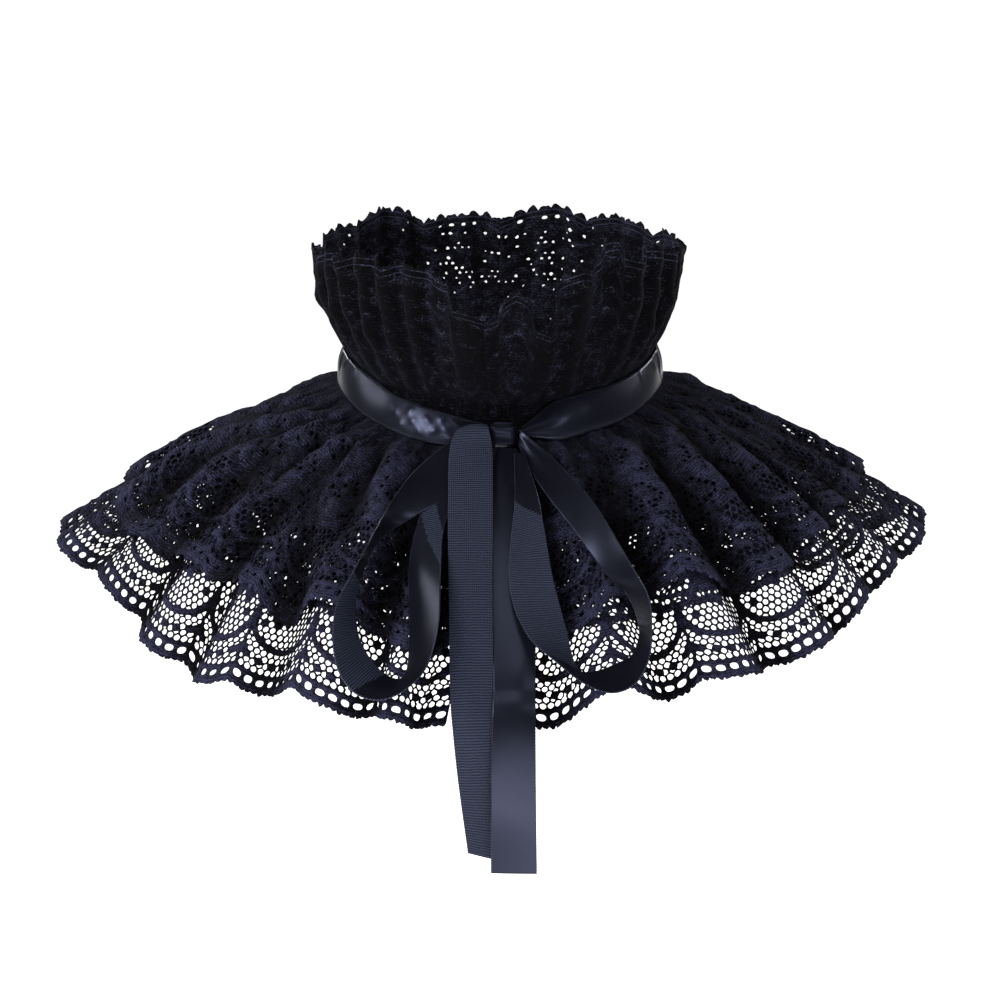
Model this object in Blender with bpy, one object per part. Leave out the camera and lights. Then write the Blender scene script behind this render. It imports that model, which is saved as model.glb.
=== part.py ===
"""Lace collar in worn form: a gathered stand-up ruff above a ribbon neckband, two
gathered lace tiers below it, open at centre front and tied with a ribbon bow.

All sizes here are millimetres and are turned into metres when a mesh is made.
The wearer faces -Y, +Z is up, and the origin is the centre of the neck ring.
Azimuth is measured from centre front, positive towards +X.
Slant is the distance along the cloth from the neck ring.
"""
import bpy
import numpy as np

MM = 0.001

# ---- driving sizes -------------------------------------------------------
NECK_HALF_WIDTH = 64.0
NECK_HALF_DEPTH = 60.0
NECK_LEVEL = (-1.4, -9.2, -2.9)  # mean, tilt to the front, dip at front and back
WALL = 1.0
SEAM_GAP = 0.3
TIER_LAP_OUT = 1.35  # the tiers lap over the foot of the ruff
TIER_LAP_UP = (2.0, -2.5)  # height of their top edge over the ring, change at the front
RUFF_DROP = 0.7
RUFF_STILL = 12.2  # height behind the neckband that stays straight
RUFF_STILL_SHARE = 0.18
TUCK = 7.0  # slant over which the tiers turn out from under the neckband
STILL = 8.0  # slant near the neckband that has no folds
FORM_SLANT = 141.0
REPEAT = 41.0  # one scallop of the lace border
BORDER_CELLS = 7  # eyelets and solid junctions in one scallop
BORDER_DEEP = 8.5
SCALLOP_DEEP = 4.0
EYELET_HALF_WIDE = 0.37  # share of a border cell
EYELET_HALF_TALL = 0.24
TIER_GAP_NECK = 1.35
TIER_GAP_HEM = 2.6
RIDGE_START = 12.0  # slant just outside the neckband
RIDGE_RISE = 13.0
BAND_RISE = 5.2  # the neckband stands this much taller than at the knot
BAND_RISE_BY = 22.0  # degrees from centre front where it reaches that
FRONT_EDGE_NECK = 1.8  # degrees from centre front
FRONT_BLEND = 20.0

# Form of the cape, row per azimuth:
# azimuth, slope under the neckband, slope at the hem (degrees below level),
# slant of the lower tier
CAPE_FORM = (
    (-180, 57, 84, 147),
    (-150, 50, 78, 147),
    (-120, 35, 52, 146),
    (-105, 24, 35, 149),
    (-92, 24, 35, 149),
    (-78, 26, 51, 137),
    (-65, 32, 60, 141),
    (-50, 36, 62, 143),
    (-35, 34, 60, 139),
    (-20, 35, 61, 142),
    (-9, 37, 63, 141),
    (4, 38, 64, 142),
    (12, 35, 59, 135),
    (25, 31, 57, 139),
    (40, 28, 55, 141),
    (52, 26, 54, 140),
    (65, 24, 52, 133),
    (78, 23, 46, 133),
    (92, 23, 35, 140),
    (105, 23, 36, 140),
    (120, 35, 53, 145),
    (150, 50, 78, 147),
    (180, 57, 84, 147),
)

# Folds of the cape, row per fold: azimuth of the crest, crest height at the hem
CAPE_FOLDS = (
    (-168, 5.5),
    (-155, 4.5),
    (-141, 6.0),
    (-128, 5.0),
    (-115, 6.0),
    (-102, 3.5),
    (-90, 2.6),
    (-78, 2.6),
    (-64, 5.5),
    (-49, 6.0),
    (-28, 7.5),
    (-13, 6.5),
    (-4, 1.5),
    (17, 7.0),
    (34, 7.5),
    (50, 6.5),
    (63, 5.0),
    (76, 3.0),
    (88, 2.4),
    (100, 3.5),
    (113, 4.5),
    (127, 5.5),
    (141, 6.0),
    (155, 4.5),
    (169, 5.5),
)

# Hem of the upper tier, which droops between its main folds, row per azimuth: azimuth, slant
UPPER_HEM = (
    (-180, 100),
    (-150, 100),
    (-120, 101),
    (-105, 106),
    (-95, 114),
    (-84, 116),
    (-76, 112),
    (-66, 102),
    (-60, 105),
    (-54, 97),
    (-46, 103),
    (-38, 109),
    (-28, 99),
    (-20, 109),
    (-11, 112),
    (4, 102),
    (13, 103),
    (22, 94),
    (33, 96),
    (44, 106),
    (56, 101),
    (76, 98),
    (95, 105),
    (120, 100),
    (150, 100),
    (180, 100),
)

# Main folds of the upper tier, row per ridge: azimuth at each of three slants, half width
# in degrees, height
RIDGE_SLANTS = (15, 55, 95)
TIER_RIDGES = (
    (-164, -161, -159, 6.5, 4.4),
    (-149, -146, -147, 6.0, 3.8),
    (-132, -131, -129, 7.0, 4.6),
    (-116, -114, -116, 6.0, 3.8),
    (-79, -98, -101, 6.0, 3.0),
    (-64, -85, -88, 6.5, 4.6),
    (-53, -74, -73, 6.5, 4.8),
    (-45, -57, -58, 6.0, 5.6),
    (-41, -39, -33, 6.5, 4.6),
    (-33, -26, -22, 6.0, 4.0),
    (41, 35, 32, 7.0, 3.8),
    (57, 50, 46, 7.0, 3.8),
    (69, 66, 66, 7.0, 3.2),
    (84, 84, 84, 4.0, 2.8),
    (97, 99, 100, 6.5, 2.2),
    (111, 113, 115, 6.5, 4.4),
    (126, 129, 128, 6.5, 3.6),
    (140, 144, 146, 6.0, 4.4),
    (157, 160, 161, 7.0, 3.8),
)

# Form of the ruff rim, row per azimuth: azimuth, reach beyond the neck ring, rise
RUFF_FORM = (
    (-180, 14.0, 61.0),
    (-160, 14.0, 60.0),
    (-140, 14.5, 64.0),
    (-120, 14.0, 59.0),
    (-90, 14.0, 56.0),
    (-70, 15.0, 61.0),
    (-52, 18.5, 67.0),
    (-35, 23.0, 70.0),
    (-14, 27.0, 68.0),
    (-11, 36.0, 54.0),
    (-1, 38.0, 52.0),
    (4, 34.0, 61.0),
    (8, 38.0, 47.0),
    (12.5, 38.0, 46.0),
    (15, 30.0, 65.0),
    (23, 27.0, 70.0),
    (28, 25.0, 71.0),
    (30.5, 21.0, 78.0),
    (33.5, 21.0, 78.0),
    (36.5, 23.0, 70.0),
    (46, 19.5, 70.0),
    (60, 16.0, 65.0),
    (80, 13.0, 59.0),
    (90, 13.0, 57.0),
    (120, 13.5, 58.0),
    (145, 14.0, 61.0),
    (160, 14.0, 64.0),
    (180, 14.0, 61.0),
)

# Pleats of the ruff, row per pleat: azimuth of the crest, crest height at the rim
RUFF_FOLDS = (
    (-173, 3.5),
    (-162, 3.0),
    (-151, 3.8),
    (-140, 3.2),
    (-129, 3.6),
    (-118, 3.0),
    (-107, 3.8),
    (-96, 3.2),
    (-85, 3.0),
    (-74, 3.6),
    (-63, 3.2),
    (-52, 3.6),
    (-42, 3.4),
    (-33, 3.2),
    (-24, 3.4),
    (-15, 2.6),
    (-6, 1.0),
    (4, 1.6),
    (12, 0.8),
    (21, 3.4),
    (33, 3.0),
    (43, 3.4),
    (53, 3.0),
    (63, 3.6),
    (73, 3.2),
    (84, 3.0),
    (95, 3.6),
    (106, 3.0),
    (117, 3.6),
    (128, 3.2),
    (139, 3.8),
    (150, 3.0),
    (161, 3.6),
    (172, 3.2),
)

# Ribbons, row per section. Each end of the section has its place across, its
# height, and its stand-off in front of the plain cape.
LEFT_LOOP = (
    (-5.9, -11.0, 8.0, -5.3, -17.0, 8.0),
    (-17.5, -14.5, 9.0, -13.0, -22.5, 9.0),
    (-33.0, -24.5, 12.0, -23.0, -36.0, 10.5),
    (-43.0, -34.5, 18.0, -34.0, -42.0, 12.5),
    (-50.5, -45.5, 26.0, -49.0, -51.0, 14.0),
    (-58.5, -59.0, 29.0, -55.5, -62.5, 14.5),
    (-65.5, -71.5, 30.0, -58.5, -74.0, 15.0),
    (-67.0, -84.0, 30.0, -57.5, -84.0, 15.0),
    (-64.5, -95.5, 29.0, -54.0, -91.5, 14.0),
    (-57.5, -103.5, 28.0, -48.5, -97.5, 14.0),
    (-47.5, -105.5, 28.0, -43.5, -100.5, 13.5),
    (-37.5, -101.5, 28.0, -39.5, -100.5, 13.5),
    (-29.0, -93.0, 28.0, -37.0, -95.5, 13.5),
    (-24.5, -78.0, 27.0, -36.5, -80.0, 13.5),
    (-24.0, -60.0, 23.0, -37.0, -61.0, 13.5),
    (-23.0, -47.0, 15.5, -34.0, -46.0, 11.5),
    (-17.5, -33.0, 9.5, -27.0, -30.5, 8.5),
    (-5.5, -18.8, 7.5, -9.5, -24.0, 7.0),
)
RIGHT_LOOP = (
    (7.8, -11.0, 8.0, 7.6, -17.5, 8.0),
    (18.5, -19.0, 12.0, 12.5, -26.0, 10.0),
    (28.0, -26.5, 15.0, 19.0, -34.5, 11.5),
    (40.0, -38.5, 19.0, 29.5, -46.0, 13.0),
    (52.5, -56.5, 26.0, 42.0, -61.0, 14.5),
    (59.5, -68.0, 29.0, 51.5, -70.0, 15.0),
    (60.5, -80.0, 29.0, 56.0, -82.0, 15.0),
    (59.0, -90.0, 29.0, 53.0, -91.0, 14.5),
    (53.5, -98.5, 28.0, 47.0, -94.0, 14.0),
    (44.0, -101.5, 28.0, 39.5, -96.5, 14.5),
    (33.0, -98.0, 28.5, 33.0, -97.0, 15.0),
    (21.5, -90.5, 27.5, 29.5, -93.0, 15.0),
    (12.0, -84.0, 24.5, 27.0, -83.5, 15.0),
    (5.5, -73.5, 20.0, 24.0, -73.0, 15.5),
    (3.5, -61.5, 18.5, 21.0, -62.0, 15.5),
    (4.5, -49.0, 17.0, 18.0, -46.0, 14.5),
    (6.0, -36.0, 15.5, 15.5, -34.5, 13.5),
    (5.8, -19.6, 13.0, 10.0, -19.6, 12.0),
)
LEFT_TAIL = (
    (-12.5, -9.0, 9.5, -5.5, -9.0, 9.5),
    (-18.5, -12.0, 12.5, -4.5, -11.0, 12.8),
    (-21.0, -20.0, 14.5, -3.2, -19.0, 14.5),
    (-21.3, -34.0, 14.5, -3.0, -34.0, 15.5),
    (-21.2, -52.0, 16.0, -3.0, -52.0, 16.5),
    (-20.6, -77.0, 16.5, -3.0, -77.0, 17.0),
    (-20.0, -106.0, 15.5, -2.5, -106.0, 15.5),
    (-18.8, -121.0, 13.5, -1.4, -121.0, 13.5),
    (-16.6, -142.0, 12.5, 0.8, -142.0, 12.5),
    (-12.9, -170.0, 12.0, 4.8, -174.5, 12.0),
)
RIGHT_TAIL = (
    (-1.5, -18.7, 9.0, 6.6, -18.7, 8.5),
    (-4.0, -30.0, 11.0, 10.5, -30.0, 10.5),
    (-4.0, -47.5, 12.5, 12.5, -47.5, 11.0),
    (-3.6, -72.0, 13.5, 14.3, -72.0, 12.0),
    (-2.2, -94.0, 15.5, 14.3, -94.0, 14.0),
    (-2.0, -104.0, 17.5, 14.2, -104.0, 15.5),
    (-3.2, -117.0, 17.5, 14.2, -117.0, 16.0),
    (-3.7, -148.0, 16.5, 14.4, -148.0, 15.5),
    (-3.6, -177.5, 15.5, 14.8, -177.5, 15.5),
)
RIBBON_STEPS = 2  # pieces between two table rows
RIBBON_CAMBER = 0.35

LACE_COLOUR = (0.010, 0.010, 0.017, 1.0)
SATIN_COLOUR = (0.020, 0.022, 0.036, 1.0)


# ---- tables --------------------------------------------------------------
def eased(table, column, azimuth):
    """Read a column of a table of azimuths, easing from one row to the next."""
    rows = np.array(table, dtype=float)
    place = np.clip(np.searchsorted(rows[:, 0], azimuth, side="right") - 1, 0, len(rows) - 2)
    start = rows[place, 0]
    share = np.clip((azimuth - start) / (rows[place + 1, 0] - start), 0.0, 1.0)
    share = share * share * (3.0 - 2.0 * share)
    return rows[place, column] * (1.0 - share) + rows[place + 1, column] * share


def smooth(table, column, azimuth):
    """Read a column of a closed table as one flowing curve round the neck."""
    rows = np.array(table, dtype=float)
    angle = np.concatenate([rows[:-1, 0] - 360.0, rows[:, 0], rows[1:, 0] + 360.0])
    value = np.concatenate([rows[:-1, column], rows[:, column], rows[1:, column]])
    lean = np.gradient(value, angle)
    place = np.clip(np.searchsorted(angle, azimuth, side="right") - 1, 0, len(angle) - 2)
    step = angle[place + 1] - angle[place]
    t = (azimuth - angle[place]) / step
    near = (2 * t**3 - 3 * t**2 + 1) * value[place] + (t**3 - 2 * t**2 + t) * step * lean[place]
    far = (3 * t**2 - 2 * t**3) * value[place + 1] + (t**3 - t**2) * step * lean[place + 1]
    return near + far


def fold_wave(folds, azimuth, deep, power):
    """Height of the folds at an azimuth: broad crests with narrow valleys between."""
    rows = np.array(folds, dtype=float)
    first = rows[:1] + np.array([[360.0, 0.0]])
    last = rows[-1:] - np.array([[360.0, 0.0]])
    rows = np.concatenate([last, rows, first])
    place = np.clip(np.searchsorted(rows[:, 0], azimuth, side="right") - 1, 0, len(rows) - 2)
    share = (azimuth - rows[place, 0]) / (rows[place + 1, 0] - rows[place, 0])
    blend = share * share * (3.0 - 2.0 * share)
    height = rows[place, 1] * (1.0 - blend) + rows[place + 1, 1] * blend
    return height * (1.0 - deep * np.sin(np.pi * share) ** (2.0 * power))


def fold_columns(folds, shares):
    """Azimuths that follow the folds: a few places from each crest to the next."""
    crests = [row[0] for row in folds]
    crests = [crests[-1] - 360.0] + crests + [crests[0] + 360.0]
    places = []
    for this, following in zip(crests, crests[1:]):
        places += [this + share * (following - this) for share in shares]
    return np.array(sorted(places))


# ---- surfaces ------------------------------------------------------------
def outward(azimuth):
    turn = np.radians(azimuth)
    return np.stack([np.sin(turn), -np.cos(turn), np.zeros_like(turn)], axis=-1)


def neck_level(azimuth):
    turn = np.radians(azimuth)
    return NECK_LEVEL[0] + NECK_LEVEL[1] * np.cos(turn) + NECK_LEVEL[2] * np.cos(2 * turn)


def neck_ring(azimuth):
    turn = np.radians(azimuth)
    across = NECK_HALF_WIDTH * np.sin(turn)
    along = -NECK_HALF_DEPTH * np.cos(turn)
    return np.stack([across, along, neck_level(azimuth)], axis=-1)


def cape_slope(azimuth, slant):
    """Degrees below level: steep under the neckband, then flaring, then falling."""
    top = smooth(CAPE_FORM, 1, azimuth)
    hem = smooth(CAPE_FORM, 2, azimuth)
    slope = top + (hem - top) * slant / FORM_SLANT
    under = np.clip(1.0 - slant / TUCK, 0.0, 1.0) ** 1.5
    return np.radians(slope + (78.0 - slope) * under)


def front_azimuth(cloth_azimuth, slant):
    """The front edges of the tiers lean away from centre front towards the hem."""
    fall = slant / FORM_SLANT
    spread = np.where(cloth_azimuth < 0, 6.4, 3.6)
    edge = FRONT_EDGE_NECK + spread * fall
    size = np.abs(cloth_azimuth)
    scale = (FRONT_BLEND - edge) / (FRONT_BLEND - FRONT_EDGE_NECK)
    near = edge + (size - FRONT_EDGE_NECK) * scale
    return np.where(size < FRONT_BLEND, np.sign(cloth_azimuth) * near, cloth_azimuth)


def cape(azimuth, slant):
    """Plain cape without folds: points and the direction that faces out."""
    azimuth, slant = np.broadcast_arrays(np.asarray(azimuth, float), np.asarray(slant, float))
    steps = (np.arange(40) + 0.5) / 40
    slopes = cape_slope(azimuth[..., None], slant[..., None] * steps)
    reach = np.cos(slopes).mean(axis=-1) * slant
    fall = np.sin(slopes).mean(axis=-1) * slant
    slope = cape_slope(azimuth, slant)[..., None]
    up = np.array([0.0, 0.0, 1.0])
    front = np.clip(np.cos(np.radians(azimuth)), 0.0, 1.0) ** 2
    level = TIER_LAP_UP[0] + TIER_LAP_UP[1] * front - fall
    points = neck_ring(azimuth) + outward(azimuth) * (TIER_LAP_OUT + reach)[..., None]
    points = points + up * level[..., None]
    facing = outward(azimuth) * np.sin(slope) + up * np.cos(slope)
    return points, facing


def fold_growth(slant):
    return np.clip((slant - STILL) / (FORM_SLANT - STILL), 0.0, 1.2) ** 0.8


def ridges(azimuth, slant):
    """Height of the upper tier's main folds, which run from the neckband to the hem."""
    grow = np.clip((slant - RIDGE_START) / RIDGE_RISE, 0.0, 1.0) * np.interp(slant, (70.0, 110.0), (1.0, 0.5))
    height = np.zeros(np.broadcast(azimuth, slant).shape)
    for *azimuths, half_wide, tall in TIER_RIDGES:
        centre = np.polyval(np.polyfit(RIDGE_SLANTS, azimuths, 2), slant)
        away = np.abs((azimuth - centre + 180.0) % 360.0 - 180.0) / half_wide
        height = np.maximum(height, tall * grow * np.cos(np.clip(away, 0.0, 1.0) * np.pi / 2) ** 2)
    return height


def lower_hem(azimuth):
    return smooth(CAPE_FORM, 3, azimuth)


def upper_hem(azimuth):
    return smooth(UPPER_HEM, 1, azimuth)


def lower_tier(cloth_azimuth, slant):
    points, facing = cape(front_azimuth(cloth_azimuth, slant), slant)
    height = fold_wave(CAPE_FOLDS, cloth_azimuth, 1.6, 1.4) * fold_growth(slant)
    return points + facing * height[..., None]


def upper_tier(cloth_azimuth, slant):
    points, facing = cape(front_azimuth(cloth_azimuth, slant), slant)
    share = slant / 100.0
    height = fold_wave(CAPE_FOLDS, cloth_azimuth, 1.6, 1.4) * fold_growth(slant)
    height = height * (1.0 + 0.2 * share) + ridges(cloth_azimuth, slant)
    height = height + TIER_GAP_NECK + (TIER_GAP_HEM - TIER_GAP_NECK) * share
    return points + facing * height[..., None]


def ruff(azimuth, share):
    """Ruff surface from the ring (share 0) to the rim (share 1)."""
    azimuth, share = np.broadcast_arrays(np.asarray(azimuth, float), np.asarray(share, float))
    reach = eased(RUFF_FORM, 1, azimuth)
    rise = eased(RUFF_FORM, 2, azimuth) + RUFF_DROP
    still = np.clip(share / RUFF_STILL_SHARE, 0.0, 1.0)
    open_share = np.clip((share - RUFF_STILL_SHARE) / (1.0 - RUFF_STILL_SHARE), 0.0, 1.0)
    flare = 1.0 - (1.0 - open_share) ** 2.2
    growth = np.clip(open_share / 0.6, 0.0, 1.0) ** 0.8
    height = fold_wave(RUFF_FOLDS, azimuth, 1.7, 1.8) * growth
    level = RUFF_STILL * still + (rise - RUFF_STILL) * open_share - RUFF_DROP
    up = np.array([0.0, 0.0, 1.0])
    points = neck_ring(azimuth) + outward(azimuth) * (reach * flare + height)[..., None]
    return points + up * level[..., None]


def neckband(azimuth, share):
    """Ribbon round the neck: upright over the ruff, turned out over the gathers."""
    azimuth, share = np.broadcast_arrays(np.asarray(azimuth, float), np.asarray(share, float))
    up = np.array([0.0, 0.0, 1.0])
    front = np.clip(np.cos(np.radians(azimuth)), 0.0, 1.0)[..., None] ** 2
    rise = np.clip(np.abs(azimuth) / BAND_RISE_BY, 0.0, 1.0)[..., None]
    rise = BAND_RISE * rise * rise * (3.0 - 2.0 * rise)
    top = neck_ring(azimuth) + outward(azimuth) * (1.5 + 0.1 * rise) + up * (6.5 - 2.0 * front + rise)
    middle = neck_ring(azimuth) + outward(azimuth) * 5.1 + up * (1.5 - 2.5 * front)
    points, facing = cape(azimuth, np.full_like(azimuth, 9.0))
    hem = points + facing * (TIER_GAP_NECK + 1.8)
    lower = np.clip(share * 2.0 - 1.0, 0.0, 1.0)[..., None]
    upper = np.clip(share * 2.0, 0.0, 1.0)[..., None]
    return top + (middle - top) * upper + (hem - middle) * lower


def cape_front(across, height):
    """Depth of the plain cape's front below a place across and a height."""
    slants = np.linspace(0.0, FORM_SLANT, 60)
    azimuth = np.degrees(np.arcsin(np.clip(across / 160.0, -1.0, 1.0)))
    depth = 0.0
    for _ in range(8):
        profile = cape(np.full(60, azimuth), slants)[0]
        slant = np.interp(-height, -profile[:, 2], slants)
        point = cape(azimuth, slant)[0]
        depth = float(point[1])
        azimuth = np.degrees(np.arctan2(across, -depth))
    return depth


# ---- meshes --------------------------------------------------------------
def facing_of(grid):
    """Unit direction that faces out at each point of a grid of rows and columns."""
    down = np.gradient(grid, axis=0)
    along = np.gradient(grid, axis=1)
    facing = np.cross(down, along)
    return facing / np.linalg.norm(facing, axis=-1, keepdims=True)


def squared_at_seam(facing, seam):
    """Keep the wall's end at the back seam square to the seam."""
    facing = facing.copy()
    facing[:, seam, 0] = 0.0
    facing[:, seam] /= np.linalg.norm(facing[:, seam], axis=-1, keepdims=True)
    return facing


def material(name, colour, rough):
    made = bpy.data.materials.new(name)
    made.use_nodes = True
    shader = made.node_tree.nodes["Principled BSDF"]
    shader.inputs["Base Color"].default_value = colour
    shader.inputs["Roughness"].default_value = rough
    return made


def solid(name, points, faces, colour, rough):
    mesh = bpy.data.meshes.new(name)
    mesh.from_pydata([tuple(point * MM) for point in points], [], faces)
    mesh.validate()
    mesh.update()
    mesh.materials.append(material(name, colour, rough))
    body = bpy.data.objects.new(name, mesh)
    bpy.context.collection.objects.link(body)
    return body


class Shell:
    """Thin wall built from a middle surface: each place has an outer and inner point."""

    def __init__(self):
        self.points = []
        self.faces = []
        self.sides = {}

    def add(self, point, facing):
        self.points.append(point + facing * WALL / 2)
        self.points.append(point - facing * WALL / 2)
        return len(self.points) // 2 - 1

    def triangle(self, a, b, c):
        self.faces.append((2 * a, 2 * b, 2 * c))
        self.faces.append((2 * c + 1, 2 * b + 1, 2 * a + 1))
        for start, end in ((a, b), (b, c), (c, a)):
            if (end, start) in self.sides:
                del self.sides[(end, start)]
            else:
                self.sides[(start, end)] = True

    def close(self):
        for start, end in self.sides:
            self.faces.append((2 * end, 2 * start, 2 * start + 1))
            self.faces.append((2 * end, 2 * start + 1, 2 * end + 1))

    def quad(self, a, b, c, d):
        self.triangle(a, b, c)
        self.triangle(a, c, d)

    def rows(self, grid, facing):
        return [
            [self.add(point, face) for point, face in zip(row, faces)]
            for row, faces in zip(grid, facing)
        ]

    def plain(self, above, below):
        for a, b, c, d in zip(above, below, below[1:], above[1:]):
            self.quad(a, b, c, d)

    def blend(self, above, below, above_at, below_at):
        """Join two rows that have different numbers of places."""
        i = 0
        j = 0
        while i < len(above) - 1 or j < len(below) - 1:
            step_below = i == len(above) - 1
            if not step_below and j < len(below) - 1:
                step_below = below_at[j + 1] <= above_at[i + 1]
            if step_below:
                self.triangle(above[i], below[j], below[j + 1])
                j += 1
            else:
                self.triangle(above[i], below[j], above[i + 1])
                i += 1

    def eyelet(self, corners, spots, facings):
        """A border cell with a six-sided eyelet. Corners run top left, bottom left,
        bottom right, top right."""
        ring = []
        for turn in range(6):
            angle = np.radians(60.0 * turn)
            x = 0.5 + EYELET_HALF_WIDE * np.cos(angle)
            y = 0.5 + EYELET_HALF_TALL * np.sin(angle)
            weights = ((1 - x) * (1 - y), (1 - x) * y, x * y, x * (1 - y))
            point = sum(w * spot for w, spot in zip(weights, spots))
            face = sum(w * facing for w, facing in zip(weights, facings))
            ring.append(self.add(point, face / np.linalg.norm(face)))
        top_left, low_left, low_right, top_right = corners
        right, low_r, low_l, left, top_l, top_r = ring
        self.triangle(top_right, right, low_right)
        self.triangle(right, low_r, low_right)
        self.quad(top_left, top_l, top_r, top_right)
        self.triangle(top_right, top_r, right)
        self.triangle(top_left, left, top_l)
        self.triangle(top_left, low_left, left)
        self.triangle(low_left, low_l, left)
        self.quad(low_left, low_right, low_r, low_l)


def lace_tier(name, surface, hem_of, slants, side, eyelets):
    """Half of a gathered lace tier with its scalloped and eyeleted border."""
    end = side * FRONT_EDGE_NECK
    columns = fold_columns(CAPE_FOLDS, (0.0, 0.22, 0.41, 0.59, 0.78))
    low, high = sorted((end, side * 180.0))
    columns = columns[(columns > low + 1.0) & (columns < high - 1.0)]
    columns = np.concatenate([[low], columns, [high]])

    fine = np.linspace(low, high, 1500)
    hem = hem_of(fine)
    track = surface(fine, hem - BORDER_DEEP / 2)
    travel = np.concatenate([[0.0], np.cumsum(np.linalg.norm(np.diff(track, axis=0), axis=1))])
    repeats = int(round(travel[-1] / REPEAT))
    cells = repeats * BORDER_CELLS
    border = np.interp(np.linspace(0.0, travel[-1], cells + 1), travel, fine)
    place = np.arange(cells + 1) % BORDER_CELLS / BORDER_CELLS
    dip = SCALLOP_DEEP * (1.0 - np.sin(np.pi * place)) ** 1.5

    shell = Shell()
    rows = np.array([slant * np.ones_like(columns) for slant in slants])
    grid = surface(np.broadcast_to(columns, rows.shape), rows)
    nudge = np.array([SEAM_GAP / 2 * side, 0.0, 0.0])
    seam = 0 if side < 0 else -1
    grid[:, seam] += nudge
    facing = squared_at_seam(facing_of(grid), seam)
    facing[0] = outward(columns)
    placed = shell.rows(grid, facing)
    for above, below in zip(placed, placed[1:]):
        shell.plain(above, below)

    hem = hem_of(border)
    levels = np.array([hem - BORDER_DEEP - 0.5 * dip, hem - dip])
    edge = surface(np.broadcast_to(border, levels.shape), levels)
    edge[:, seam] += nudge
    facing = squared_at_seam(facing_of(edge), seam)
    top, bottom = shell.rows(edge, facing)
    shell.blend(placed[-1], top, columns, border)
    for cell in range(cells):
        corners = (top[cell], bottom[cell], bottom[cell + 1], top[cell + 1])
        if cell % BORDER_CELLS in eyelets:
            spots = (edge[0, cell], edge[1, cell], edge[1, cell + 1], edge[0, cell + 1])
            faces = (facing[0, cell], facing[1, cell], facing[1, cell + 1], facing[0, cell + 1])
            shell.eyelet(corners, spots, faces)
        else:
            shell.quad(*corners)
    shell.close()
    return solid(name, shell.points, shell.faces, LACE_COLOUR, 0.8)


def ruff_half(name, side):
    columns = fold_columns(RUFF_FOLDS, (0.0, 0.25, 0.5, 0.75))
    low, high = sorted((side * 0.7, side * 180.0))
    columns = columns[(columns > low + 1.0) & (columns < high - 1.0)]
    columns = np.concatenate([[low], columns, [high]])
    shares = np.array([1.0, 0.6, 0.34, RUFF_STILL_SHARE, 0.0])
    rows, cols = np.meshgrid(shares, columns, indexing="ij")
    grid = ruff(cols, rows)
    seam = 0 if side < 0 else -1
    grid[:, seam] += np.array([SEAM_GAP / 2 * side, 0.0, 0.0])
    facing = squared_at_seam(facing_of(grid), seam)
    facing[-1] = outward(columns)
    shell = Shell()
    placed = shell.rows(grid, facing)
    for above, below in zip(placed, placed[1:]):
        shell.plain(above, below)
    shell.close()
    return solid(name, shell.points, shell.faces, LACE_COLOUR, 0.8)


def band():
    columns = np.concatenate([np.linspace(7.5, 180.0, 27), np.linspace(180.0, 354.5, 27)[1:]])
    columns = np.where(columns > 180.0, columns - 360.0, columns)
    rows, cols = np.meshgrid(np.array([0.0, 0.5, 1.0]), columns, indexing="ij")
    grid = neckband(cols, rows)
    shell = Shell()
    placed = shell.rows(grid, facing_of(grid))
    for above, below in zip(placed, placed[1:]):
        shell.plain(above, below)
    shell.close()
    return solid("ribbon_neckband", shell.points, shell.faces, SATIN_COLOUR, 0.4)


def curve_through(points, steps):
    """Flowing line through points, with the given number of pieces between two."""
    padded = np.concatenate([2 * points[:1] - points[1:2], points, 2 * points[-1:] - points[-2:-1]])
    line = []
    for i in range(1, len(padded) - 2):
        a, b, c, d = padded[i - 1:i + 3]
        for k in range(steps):
            t = k / steps
            bend = (2 * a - 5 * b + 4 * c - d) * t**2 + (3 * b - a - 3 * c + d) * t**3
            line.append(0.5 * (2 * b + (c - a) * t + bend))
    line.append(points[-1])
    return np.array(line)


def ribbon(name, table):
    first = []
    second = []
    for x1, z1, off1, x2, z2, off2 in table:
        first.append((x1, cape_front(x1, z1) - off1, z1))
        second.append((x2, cape_front(x2, z2) - off2, z2))
    first = curve_through(np.array(first), RIBBON_STEPS)
    second = curve_through(np.array(second), RIBBON_STEPS)
    grid = np.stack([first, (first + second) / 2, second], axis=1)
    facing = facing_of(grid)
    grid[:, 1] += facing[:, 1] * RIBBON_CAMBER
    shell = Shell()
    placed = shell.rows(grid, facing)
    for above, below in zip(placed, placed[1:]):
        shell.plain(above, below)
    shell.close()
    return solid(name, shell.points, shell.faces, SATIN_COLOUR, 0.4)


def knot():
    """Small drawn-in lump of ribbon that holds the bow at centre front."""
    profile = ((-4.9, 0.62), (-3.4, 0.93), (0.0, 0.84), (3.4, 0.93), (4.9, 0.62))
    centre = np.array([1.2, -69.5, -13.2])
    around = 14
    points = []
    for height, size in profile:
        for k in range(around):
            turn = 2 * np.pi * k / around
            x = np.sign(np.cos(turn)) * abs(np.cos(turn)) ** 0.7 * 6.1 * size
            y = np.sign(np.sin(turn)) * abs(np.sin(turn)) ** 0.7 * 4.1 * size
            points.append(centre + np.array([x, y, height]))
    faces = []
    for level in range(len(profile) - 1):
        for k in range(around):
            a = level * around + k
            b = level * around + (k + 1) % around
            faces.append((a, b, b + around))
            faces.append((a, b + around, a + around))
    low = len(points)
    points.append(centre + np.array([0.0, 0.0, profile[0][0]]))
    points.append(centre + np.array([0.0, 0.0, profile[-1][0]]))
    top = (len(profile) - 1) * around
    for k in range(around):
        following = (k + 1) % around
        faces.append((low, following, k))
        faces.append((low + 1, top + k, top + following))
    return solid("ribbon_knot", points, faces, SATIN_COLOUR, 0.4)


for old in list(bpy.data.objects):
    bpy.data.objects.remove(old)

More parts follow.
